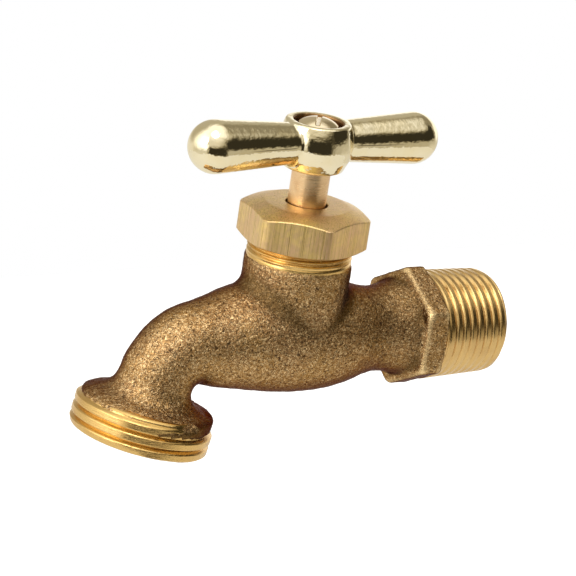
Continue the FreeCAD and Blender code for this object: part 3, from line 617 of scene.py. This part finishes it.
# %% Polished brass
RECESS_SHADE_COLOUR, SEAM_DARK = (0.3, 0.17, 0.07), (0.16, 0.12, 0.05)
RECESS_RADIUS, RECESS_FADE = 4.95 * MM, 0.1 * MM
SEAM_LIFT = 0.25 * MM
SEAM_INNER, SEAM_OUTER = 0.05 * MM, 0.12 * MM
HUB_EDGE, BALL_EDGE = (7.8 * MM, 8.6 * MM), (15 * MM, 19 * MM)
NOWHERE = -1.0


def plated_material(name, bright, worn, wave_depth, in_recess_radius=0.0, seam_height=NOWHERE):
    """Bright plating over a slightly uneven casting, which makes the reflections ragged.

    Within the given radius of the stem's axis, down in the recess, the colour is darkened as painted
    shade and the surface is rougher. At seam_height the two halves of the mould left a fine dark
    line along the arms, between the hub and the balls.
    """
    material, tree, shader = new_material(name, bright, 0.09)
    waves = place_group(tree, cast_grain, {"Grains per metre": 2100.0, "Lumps per metre": 900.0})
    clouds = place_group(tree, tarnish, {"Clouds per metre": 200.0, "Amount": 0.5})
    base = mix_colours(tree, (clouds, "Mask"), bright, worn)
    where = add(tree, "ShaderNodeTexCoord")
    flat = add(tree, "ShaderNodeVectorMath", operation="MULTIPLY_ADD")
    flat.inputs[1].default_value, flat.inputs[2].default_value = (1, 1, 0), (-stem_x, 0, 0)
    link(tree, where, "Object", flat, 0)
    away = add(tree, "ShaderNodeVectorMath", operation="LENGTH")
    link(tree, flat, 0, away, 0)
    # Inside the recess: painted shade in the colour, and more roughness.
    in_recess = span(tree, away, "Value", in_recess_radius, in_recess_radius + RECESS_FADE, 1.0, 0.0)
    parts = add(tree, "ShaderNodeSeparateXYZ")
    link(tree, where, "Object", parts, 0)
    above = arithmetic(tree, "SUBTRACT", (parts, "Z"), seam_height)
    distance = arithmetic(tree, "ABSOLUTE", (above, 0), 0.0)
    line = span(tree, distance, 0, SEAM_INNER, SEAM_OUTER, 0.8, 0.0)
    from_hub = span(tree, away, "Value", *HUB_EDGE)
    to_ball = span(tree, away, "Value", *BALL_EDGE, 1.0, 0.0)
    on_arm = arithmetic(tree, "MULTIPLY", (from_hub, 0), (to_ball, 0))
    seam = arithmetic(tree, "MULTIPLY", (line, 0), (on_arm, 0))
    lined = mix_colours(tree, (seam, 0), base, SEAM_DARK)
    # Painted shade darkens the recess.
    last = mix_colours(tree, (in_recess, 0), lined, RECESS_SHADE_COLOUR)
    link(tree, *last, shader, "Base Color")
    smooth = span(tree, waves, "Pits", 0.0, 1.0, 0.03, 0.1)
    dull = arithmetic(tree, "MULTIPLY", (in_recess, 0), 0.35)
    rough = arithmetic(tree, "ADD", (smooth, 0), (dull, 0))
    link(tree, rough, 0, shader, "Roughness")
    bump(tree, shader, waves, "Swell", wave_depth)
    return material


arm_middle = sum(corner.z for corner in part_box("tee_handle")) / 2
polished_brass = plated_material(
    "polished_brass", bright=(0.93, 0.83, 0.58), worn=(0.9, 0.76, 0.44), wave_depth=0.06 * MM,
    in_recess_radius=RECESS_RADIUS, seam_height=arm_middle + SEAM_LIFT)
screw_plating = plated_material(
    "screw_plating", bright=(0.84, 0.71, 0.47), worn=(0.78, 0.57, 0.42), wave_depth=0.03 * MM)
print("materials:", polished_brass.name, screw_plating.name)

# %% Rubber and packing


def soft_material(name, colour, roughness):
    """Rubber or packing: dark and matt, with paler grains where it is scuffed."""
    material, tree, shader = new_material(name, colour, roughness, metallic=0.0)
    grain = place_group(tree, cast_grain, {"Grains per metre": 3000.0, "Lumps per metre": 800.0})
    worn = mix_colours(tree, (grain, "Specks"), colour, tuple(part * 2.2 for part in colour))
    link(tree, *worn, shader, "Base Color")
    bump(tree, shader, grain, "Height", 0.05 * MM)
    return material


packing = soft_material("packing_graphite", (0.1, 0.1, 0.1), 0.6)
washer_rubber = soft_material("washer_rubber", (0.05, 0.05, 0.05), 0.5)
print("materials:", packing.name, washer_rubber.name)

# %% [markdown]
# ## Working on a copy of a solid
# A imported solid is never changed. Where the real surface is softer or rougher than the solid's, a
# copy is rebuilt from small even faces, which rounds every edge as casting does, smoothed, and
# then shown in the solid's place.

# %% Helpers for copied meshes
INWARD, OUTWARD = 0.6, 0.62


def copy_of(node_name, piece_name):
    """A new object with a welded copy of a node's mesh and none of its materials."""
    mesh = nodes[node_name].data.copy()
    mesh.name = piece_name
    mesh.materials.clear()
    work = bmesh.new()
    work.from_mesh(mesh)
    bmesh.ops.remove_doubles(work, verts=work.verts, dist=0.002 * MM)
    work.to_mesh(mesh)
    work.free()
    if "custom_normal" in mesh.attributes:
        mesh.attributes.remove(mesh.attributes["custom_normal"])
    return new_object(piece_name, mesh)


def rebuild_evenly(piece, cell):
    """Replace the piece's faces by even ones of about cell's size."""
    even = piece.modifiers.new("even", "REMESH")
    even.mode, even.voxel_size = "VOXEL", cell
    graph = bpy.context.evaluated_depsgraph_get()
    made = bpy.data.meshes.new_from_object(piece.evaluated_get(graph))
    piece.modifiers.clear()
    piece.data = made
    made.shade_smooth()
    return made


def relax(mesh, passes, outward=OUTWARD, share=1.0):
    """Move every vertex towards its neighbours' mean; share (0 to 1) may differ by vertex.

    Relaxing alone would shrink the piece, so each pass inwards is followed by one outwards.
    """
    count = len(mesh.vertices)
    spots = numpy.empty(count * 3)
    mesh.vertices.foreach_get("co", spots)
    spots = spots.reshape(count, 3)
    ends = numpy.empty(len(mesh.edges) * 2, dtype=int)
    mesh.edges.foreach_get("vertices", ends)
    one, other = ends.reshape(-1, 2).T
    neighbours = numpy.bincount(ends, minlength=count)[:, None]
    for step in range(passes):
        for factor in (INWARD, -outward):
            sums = [numpy.bincount(one, spots[other, axis], count)
                    + numpy.bincount(other, spots[one, axis], count) for axis in range(3)]
            spots += factor * share * (numpy.stack(sums, axis=1) / neighbours - spots)
    mesh.vertices.foreach_set("co", spots.ravel())
    mesh.update()


def standing_out(mesh, passes):
    """How far each vertex stands out of its surroundings, which reach wider with more passes."""
    count = len(mesh.vertices)
    rounded = mesh.copy()
    relax(rounded, passes, outward=0.0)
    spots, smooth, normals = (numpy.empty(count * 3) for part in range(3))
    mesh.vertices.foreach_get("co", spots)
    rounded.vertices.foreach_get("co", smooth)
    mesh.vertex_normals.foreach_get("vector", normals)
    bpy.data.meshes.remove(rounded)
    return ((spots - smooth) * normals).reshape(count, 3).sum(axis=1)


def mark(mesh, name, values):
    """Keep a value from 0 to 1 for every vertex, for the material to read."""
    mesh.attributes.new(name, "FLOAT", "POINT").data.foreach_set("value", numpy.clip(values, 0, 1))


def finish_piece(piece, body, material, slot, *stands_for):
    """Give a piece its material, let it ride and hide the node that it stands for; slot is not used."""
    if not piece.data.materials:
        piece.data.materials.append(material)
    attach(piece, body)
    if stands_for:
        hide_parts(*stands_for)
    print(f"{piece.name}: {len(piece.data.polygons)} faces")


print("mesh helpers ready")

# %% [markdown]
# ## The casting
# The body is one sand casting. Its threads are cut in the next step, so the copy is first drawn in
# there, below the threads' roots. The rebuilt skin then gets the low lumps of a sand mould; the
# grain itself is finer than any sensible mesh and comes from the material's bump. Two marks go
# with the skin, for the material to read: worn, where an edge stands out and is rubbed bright,
# and hollow, where the skin lies sunk and gets painted shade with some tarnish, and where the
# uncut skin on the last crest is dark.
#
# The hose thread's last crest lies at the flange. On one side the blank was too thin for it, so
# the cast skin runs on there instead of a cut crest.

# %% Where the casting gives way to its threads
SET_BACK = 0.4 * MM
NEAR = 0.01 * MM
PIPE_LENGTH = 15.6 * MM
PIPE_ROOT = 9.1 * MM
NECK_CAST_TOP = 15.5 * MM
NECK_ROOT = 9.4 * MM
HOSE_PITCH = 25.4 / 11.5 * MM
HOSE_ROOT, RIM_ROOT = 11.9 * MM, 12.6 * MM
SPOUT_SIDE = stem_x - 10 * MM
outlet_turn = (-outlet_out).to_track_quat("Z", "Y").to_matrix()


def outlet_height(point):
    """How far a vertex lies above the outlet's end, along the outlet's own axis."""
    return (outlet_end - point).dot(outlet_out)


def drawn_in(point):
    """Where a vertex of the casting goes so that the threads lie over it."""
    across = Vector((0, point.y, point.z))
    if point.x > -PIPE_LENGTH + NEAR and across.length > PIPE_ROOT:
        across *= PIPE_ROOT / across.length
    if point.x > -SET_BACK:
        return Vector((-SET_BACK, across.y, across.z))
    if point.x > -PIPE_LENGTH + NEAR:
        return Vector((point.x, across.y, across.z))
    height = outlet_height(point)
    if height < hose_length + NEAR and point.x < SPOUT_SIDE:
        centre = outlet_end - outlet_out * height
        spoke = point - centre
        root = HOSE_ROOT + (RIM_ROOT - HOSE_ROOT) * max(0, height) / hose_length
        if spoke.length > root:
            spoke *= root / spoke.length
        return centre - outlet_out * max(0, SET_BACK - height) + spoke
    if point.z > NECK_CAST_TOP + NEAR:
        spoke = Vector((point.x - stem_x, point.y, 0))
        if spoke.length > NECK_ROOT:
            spoke *= NECK_ROOT / spoke.length
        return Vector((stem_x + spoke.x, spoke.y, point.z))
    return point


print(f"casting drawn in to {PIPE_ROOT / MM} mm, {HOSE_ROOT / MM} mm and {NECK_ROOT / MM} mm")

# %% The uncut part of the hose thread's last crest
# Places round the outlet are shares of a turn.
UNCUT_FROM, UNCUT_WHOLE, UNCUT_FADE = 0.42, 0.547, 0.08
THIN_FROM, THIN_FADE = 0.4, 0.2
GROOVE_START = 2.5 * HOSE_PITCH
CREST_DEPTH = 0.8 * HOSE_PITCH
EDGE_FOOT, EDGE_RISE = 0.22 * HOSE_PITCH, 1.3 * MM
CUT_INSIDE = 11.5 * MM
SKIN_OVER_CREST, THIN_BLANK = 0.12 * MM, 0.67 * MM


def last_groove(share):
    """Height of the die's last groove over the outlet's end; it climbs one pitch in a turn."""
    return GROOVE_START + HOSE_PITCH * share


def thin_share(share):
    """1 where the blank was too thin for a full last crest, 0 where it was thick enough."""
    part = min(1, max(0, (share - THIN_FROM) / THIN_FADE))
    return part * part * (3 - 2 * part)


def uncut_skin(point):
    """How far a vertex stands out where the blank's own cast skin shows on the last crest.

    The skin begins in a curved edge that rises over the crest, and covers it whole further on.
    """
    height = outlet_height(point)
    spoke = point - (outlet_end - outlet_out * height)
    flat = outlet_turn.transposed() @ spoke
    share = math.atan2(flat.y, flat.x) / math.tau % 1
    below = last_groove(share) - height
    outside = CUT_INSIDE < spoke.length < hose_radius and point.x < SPOUT_SIDE
    if not outside or share < UNCUT_FROM or below > CREST_DEPTH:
        return Vector((0, 0, 0))
    if share < UNCUT_WHOLE:
        left = (UNCUT_WHOLE - share) / (UNCUT_WHOLE - UNCUT_FROM)
        cover = 1 if below > EDGE_FOOT + EDGE_RISE * left * left else 0
    else:
        cover = max(0, min(1, (below + MM) / (0.8 * MM), (1 - share) / UNCUT_FADE))
    radius = hose_radius + SKIN_OVER_CREST - THIN_BLANK * thin_share(share)
    return spoke.normalized() * (radius - spoke.length) * cover


print(f"last crest uncut from {UNCUT_FROM * 360:.0f} degrees on")

# %% Build the cast body
SKIN_CELL = 0.42 * MM
LUMP_SIZE, LUMP_RISE = 1.7 * MM, 0.07 * MM
FINER_LUMPS, FINER_RISE = 2.3, 0.6
WORN_PASSES, WORN_STEP, WORN_LEVEL = 12, 0.16 * MM, 0.6
HOLLOW_PASSES, HOLLOW_STEP, HOLLOW_LEVEL = 160, 0.45 * MM, 0.42
FOLD_LOW, FOLD_HIGH = 1.2 * MM, 7.6 * MM
FADE_LOW, FADE_HIGH = 1.2 * MM, 2 * MM
DOME_TOP, DOME_FADE = 9 * MM, 3 * MM
UNCUT_LEAST = 0.1 * MM


def above_flange(point):
    """How far a vertex lies above the outlet's flange; without end where it isn't on the spout."""
    return math.inf if point.x > SPOUT_SIDE else outlet_height(point) - hose_length


def fold_share(point):
    """1 where the dome folds into the spout, fading to 0 above and below: sand leaves it soft."""
    above = above_flange(point)
    return max(0.0, min(1.0, (above - FOLD_LOW) / FADE_LOW, (FOLD_HIGH - above) / FADE_HIGH))


def on_flange(point):
    """1 on the outlet's flange and dome, fading to 0 up the spout."""
    return max(0.0, min(1.0, (DOME_TOP - above_flange(point)) / DOME_FADE))


def make_casting():
    piece = copy_of("body_casting", "cast_body")
    for vertex in piece.data.vertices:
        vertex.co = drawn_in(vertex.co.copy())
    mesh = rebuild_evenly(piece, SKIN_CELL)
    relax(mesh, 3)
    fold = numpy.array([fold_share(vertex.co) for vertex in mesh.vertices])[:, None]
    relax(mesh, 60, outward=0.0, share=fold)
    count = len(mesh.vertices)
    uncut, flange, shifts = numpy.empty(count), numpy.empty(count), []
    for index, vertex in enumerate(mesh.vertices):
        where = vertex.co / LUMP_SIZE
        rise = noise.noise(where) + FINER_RISE * noise.noise(where * FINER_LUMPS)
        skin = uncut_skin(vertex.co)
        shifts.append(vertex.normal * (rise * LUMP_RISE) + skin)
        uncut[index], flange[index] = skin.length > UNCUT_LEAST, on_flange(vertex.co)
    rubbed = standing_out(mesh, WORN_PASSES) / WORN_STEP - WORN_LEVEL
    mark(mesh, "worn", rubbed * (1 - numpy.maximum(uncut, flange)))
    # hollow: painted shade where the skin is sunk or flat, and the dark uncut skin on the last crest.
    sunk = HOLLOW_LEVEL - standing_out(mesh, HOLLOW_PASSES) / HOLLOW_STEP
    mark(mesh, "hollow", numpy.maximum(sunk * (1 - flange), uncut))
    for vertex, shift in zip(mesh.vertices, shifts):
        vertex.co += shift
    finish_piece(piece, "body", cast_brass, "cast_brass", "body_casting")


make_casting()

# %% [markdown]
# ## Cut threads
# A thread is a groove that winds round its cylinder. Drawing one would mean sweeping a profile, but
# a sweep leaves ragged ends. Here each upright column of vertices follows the same tooth profile,
# raised by a share of the pitch from column to column, and is cut off cleanly at both ends.

# %% The thread builder
COLUMNS = 120


def tooth(crest_share, root_share, rounding):
    """One turn's profile as (share of the pitch, depth from 0 at the crest to 1 at the root).

    The two points side by side on the crest keep it flat under the smooth shading.
    """
    crest, base = crest_share / 2, 0.5 - root_share / 2
    slope = 1 / (base - crest)
    half = [(crest - 1.8 * rounding, 0.0), (crest - rounding, 0.0),
            (crest + rounding, rounding * slope), (base - rounding, 1 - rounding * slope),
            (base + rounding, 1.0)]
    return half + [(1 - share, depth) for share, depth in reversed(half)]


def clipped(points, low, high):
    """Move the points beyond either end onto the cut, so that each column stays as long."""
    def radius_at(cut):
        for (height, radius), (next_height, next_radius) in zip(points, points[1:]):
            if height <= cut <= next_height:
                step = next_height - height
                share = 0 if step == 0 else (cut - height) / step
                return radius + (next_radius - radius) * share
        return points[0][1] if cut < points[0][0] else points[-1][1]

    first, last = (low, radius_at(low)), (high, radius_at(high))
    return [first if height < low else last if height > high else (height, radius)
            for height, radius in points]


def thread_mesh(name, place, length, pitch, profile, surface, before, after):
    """Threaded sleeve along +Z of place; before and after are plain (height, radius) points.

    surface(height, angle, cut) gives its radius; cut runs from 0 on a crest to 1 in a groove. The
    last column meets the first one turn on, so its threaded rows are joined size rows higher.
    """
    turns = range(-2, math.ceil(length / pitch) + 1)
    size = len(profile)
    verts, faces = [], []
    rows = len(before) + size * len(turns) + len(after)
    for column in range(COLUMNS):
        share = column / COLUMNS
        angle = share * math.tau
        points = []
        for turn in turns:
            for part, cut in profile:
                height = pitch * (turn + part + share)
                points.append((height, surface(height, angle, cut)))
        whole = before + clipped(points, 0.0, length) + after
        verts += [place @ Vector((radius * math.cos(angle), radius * math.sin(angle), height))
                  for height, radius in whole]
    for column in range(COLUMNS):
        here, there = column * rows, (column + 1) % COLUMNS * rows
        wraps = column == COLUMNS - 1
        for row in range(rows - 1):
            low, high = row, row + 1
            if wraps and len(before) <= row < rows - len(after):
                low = min(row + size, rows - len(after) - 1)
            if wraps and len(before) <= row + 1 < rows - len(after):
                high = min(row + 1 + size, rows - len(after) - 1)
            faces.append((here + row, there + low, there + high, here + row + 1))
    mesh = new_mesh(name, verts, faces)
    work = bmesh.new()
    work.from_mesh(mesh)
    bmesh.ops.remove_doubles(work, verts=work.verts, dist=0.0005 * MM)
    bmesh.ops.recalc_face_normals(work, faces=work.faces)
    work.to_mesh(mesh)
    work.free()
    mesh.shade_smooth()
    mesh.set_sharp_from_angle(angle=math.radians(50))
    return new_object(name, mesh)


def mouth(bore, inside, lip):
    """The plain points from some way inside a bore out over its softened lip."""
    return [(inside, bore + 0.2 * MM), (inside, bore - 0.05 * MM),
            (lip, bore - 0.05 * MM), (0, bore + lip)]


print("thread builder ready")

# %% Cut the pipe thread
PIPE_PITCH = 25.4 / 14 * MM
PIPE_DEPTH = 0.6 * MM
PIPE_TIP = 10.42 * MM
PIPE_TAPER = 1 / 32
PIPE_BORE, PIPE_LIP = 6.9 * MM, 0.3 * MM
PIPE_LEAD_IN = 0.8 * MM


def make_pipe_thread():
    """Half-inch tapered pipe thread with broad crests, which runs out before the hexagon."""
    def surface(height, angle, cut):
        entry = min(1, max(0.0, height + PIPE_LIP) / PIPE_LEAD_IN)
        runs_out = min(1, max(0.0, PIPE_LENGTH - height) / PIPE_PITCH)
        crest = min(PIPE_TIP + height * PIPE_TAPER, PIPE_TIP - PIPE_LEAD_IN + max(height, 0))
        return crest - PIPE_DEPTH * runs_out * entry * cut

    place = Matrix.Rotation(math.radians(-90), 4, "Y")
    before, after = mouth(PIPE_BORE, 2 * MM, PIPE_LIP), [(PIPE_LENGTH, PIPE_ROOT)]
    profile = tooth(crest_share=0.56, root_share=0.06, rounding=0.055)
    piece = thread_mesh("inlet_threading", place, PIPE_LENGTH, PIPE_PITCH, profile, surface,
                        before, after)
    finish_piece(piece, "body", pipe_brass, "cast_brass")


make_pipe_thread()

# %% Cut the hose thread
HOSE_DEPTH = 0.8 * MM
HOSE_BORE, HOSE_LIP = 8.7 * MM, 0.35 * MM
HOSE_LEAD_IN = 0.4 * MM
HOSE_TOP = 7.3 * MM
BURIED, BURIED_FROM, BURIED_SLOPE = 1.1 * MM, 6 * MM, 1.2


def make_hose_thread():
    """Three-quarter-inch hose thread, whose last groove climbs into the flange's wall.

    Past that groove the sleeve falls away into the flange, and where the blank was too thin for
    the last crest it lies buried under the cast skin.
    """
    def surface(height, angle, cut):
        share = angle / math.tau
        above = height - last_groove(share)
        whole = min(hose_radius, hose_radius - HOSE_LEAD_IN + max(height, 0))
        radius = whole - HOSE_DEPTH * cut - 2 * max(0, above)
        if above < -HOSE_PITCH:
            return radius
        buried = BURIED + BURIED_SLOPE * max(0, height - BURIED_FROM)
        return min(radius, hose_radius - buried * thin_share(share))

    place = Matrix.Translation(outlet_end) @ outlet_turn.to_4x4()
    before, after = mouth(HOSE_BORE, 3 * MM, HOSE_LIP), [(HOSE_TOP, HOSE_BORE + HOSE_LIP)]
    profile = tooth(crest_share=0.6, root_share=0.06, rounding=0.05)
    piece = thread_mesh("outlet_threading", place, HOSE_TOP, HOSE_PITCH, profile, surface,
                        before, after)
    finish_piece(piece, "body", hose_brass, "cast_brass")


make_hose_thread()

# %% Cut the neck's thread
NECK_CREST = 10.15 * MM
NECK_PITCH = 1.0 * MM
NECK_DEPTH = 0.5 * MM
NECK_PLAIN = 0.9 * MM


def make_neck_thread():
    """The fine thread that the packing nut climbs, seen as a few lines above the cast neck."""
    foot = NECK_CAST_TOP - 0.2 * MM
    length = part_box("body_casting")[1].z - foot

    def surface(height, angle, cut):
        entry = min(1, max(0.0, height - NECK_PLAIN) / NECK_PITCH)
        return NECK_CREST - NECK_DEPTH * entry * cut

    place = Matrix.Translation((stem_x, 0, foot))
    profile = tooth(crest_share=0.16, root_share=0.16, rounding=0.04)
    piece = thread_mesh("neck_threading", place, length, NECK_PITCH, profile, surface,
                        [(0, NECK_ROOT)], [(length, NECK_ROOT)])
    finish_piece(piece, "body", hose_brass, "cast_brass")


make_neck_thread()

# %% [markdown]
# ## The packing nut
# It is cut from hexagon bar: the flats keep the die's lines, a lathe bevels both ends, and that
# bevel meets each flat in an arc. Walking round the hexagon and asking at each angle how far the
# flat lies gives those arcs exactly, which a plain bevelled prism would not.

# %% Build the packing nut
NUT_TURN = math.radians(20.2)
NUT_FLATS = 22.4 * MM
NUT_CROWN = 8.1 * MM
NUT_FOOT = 10.6 * MM
NUT_HOLE = 4.1 * MM
NUT_THREAD = NECK_CREST + 0.1 * MM
NUT_SLOPE = math.tan(math.radians(20))
NUT_CORNER = 0.35 * MM
NUT_EDGE = 0.14 * MM
STEPS_PER_SIDE = 24


def make_packing_nut():
    """The nut, step by step round its axis.

    Each step adds a row of corners, from inside the hole over the top and the side to the thread.
    """
    low, high = (corner.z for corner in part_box("bonnet_cap"))
    apothem = NUT_FLATS / 2
    verts, faces = [], []
    count = 6 * STEPS_PER_SIDE
    for step in range(count):
        angle = step / count * math.tau
        within = (angle % (math.tau / 6)) - math.tau / 12
        reach = min(apothem / math.cos(within), apothem / math.cos(math.tau / 12) - NUT_CORNER)
        top = high - (reach - NUT_CROWN) * NUT_SLOPE
        foot = low + max(0, reach - NUT_FOOT) * NUT_SLOPE
        spokes = [(NUT_HOLE, low + 6 * MM), (NUT_HOLE, high - NUT_EDGE),
                  (NUT_HOLE + NUT_EDGE, high), (NUT_CROWN - NUT_EDGE, high),
                  (NUT_CROWN + NUT_EDGE, high - NUT_EDGE * NUT_SLOPE),
                  (reach - NUT_EDGE, top + NUT_EDGE * NUT_SLOPE), (reach, top - NUT_EDGE),
                  (reach, foot + NUT_EDGE), (reach - NUT_EDGE, foot), (NUT_FOOT, low),
                  (NUT_THREAD, low), (NUT_THREAD, low + 4 * MM)]
        turned = angle + NUT_TURN
        verts += [(stem_x + radius * math.cos(turned), radius * math.sin(turned), height)
                  for radius, height in spokes]
    rows = len(verts) // count
    for step in range(count):
        here, there = step * rows, (step + 1) % count * rows
        faces += [(here + row, here + row + 1, there + row + 1, there + row)
                  for row in range(rows - 1)]
    mesh = new_mesh("packing_nut", verts, faces)
    mesh.shade_smooth()
    mesh.set_sharp_from_angle(angle=math.radians(32))
    piece = new_object("packing_nut", mesh)
    finish_piece(piece, "body", drawn_brass, "drawn_brass", "bonnet_cap")


make_packing_nut()

# %% [markdown]
# ## The tee handle and its screw
# The handle is cast and plated, so its hub and arms flow into each other. Rebuilding a copy evenly
# and relaxing it gives that flow. The screw is treated the same way with smaller faces.

# %% Build the handle and the screw


def softened(node_name, piece_name, cell, passes, material):
    """A copy of a node with even faces of cell's size, relaxed and shown in the node's place."""
    piece = copy_of(node_name, piece_name)
    relax(rebuild_evenly(piece, cell), passes)
    finish_piece(piece, "handle", material, "polished_brass", node_name)


softened("tee_handle", "tee_grip", cell=0.25 * MM, passes=24, material=polished_brass)
softened("handle_screw", "grip_screw", cell=0.13 * MM, passes=8, material=screw_plating)

# %% [markdown]
# ## Pieces that stay as packed
# The stem, the ring, the packing and the washer with its screw have the right shape already, so
# they only get their finishes.

# %% Finish the other pieces
for node_name, material in (("stem", stem_brass), ("friction_ring", pipe_brass),
                            ("packing_ring", packing), ("seat_washer", washer_rubber),
                            ("washer_screw", stem_brass)):
    mesh = nodes[node_name].data
    mesh.materials.clear()
    mesh.materials.append(material)
    print(f"{node_name}: {material.name}")
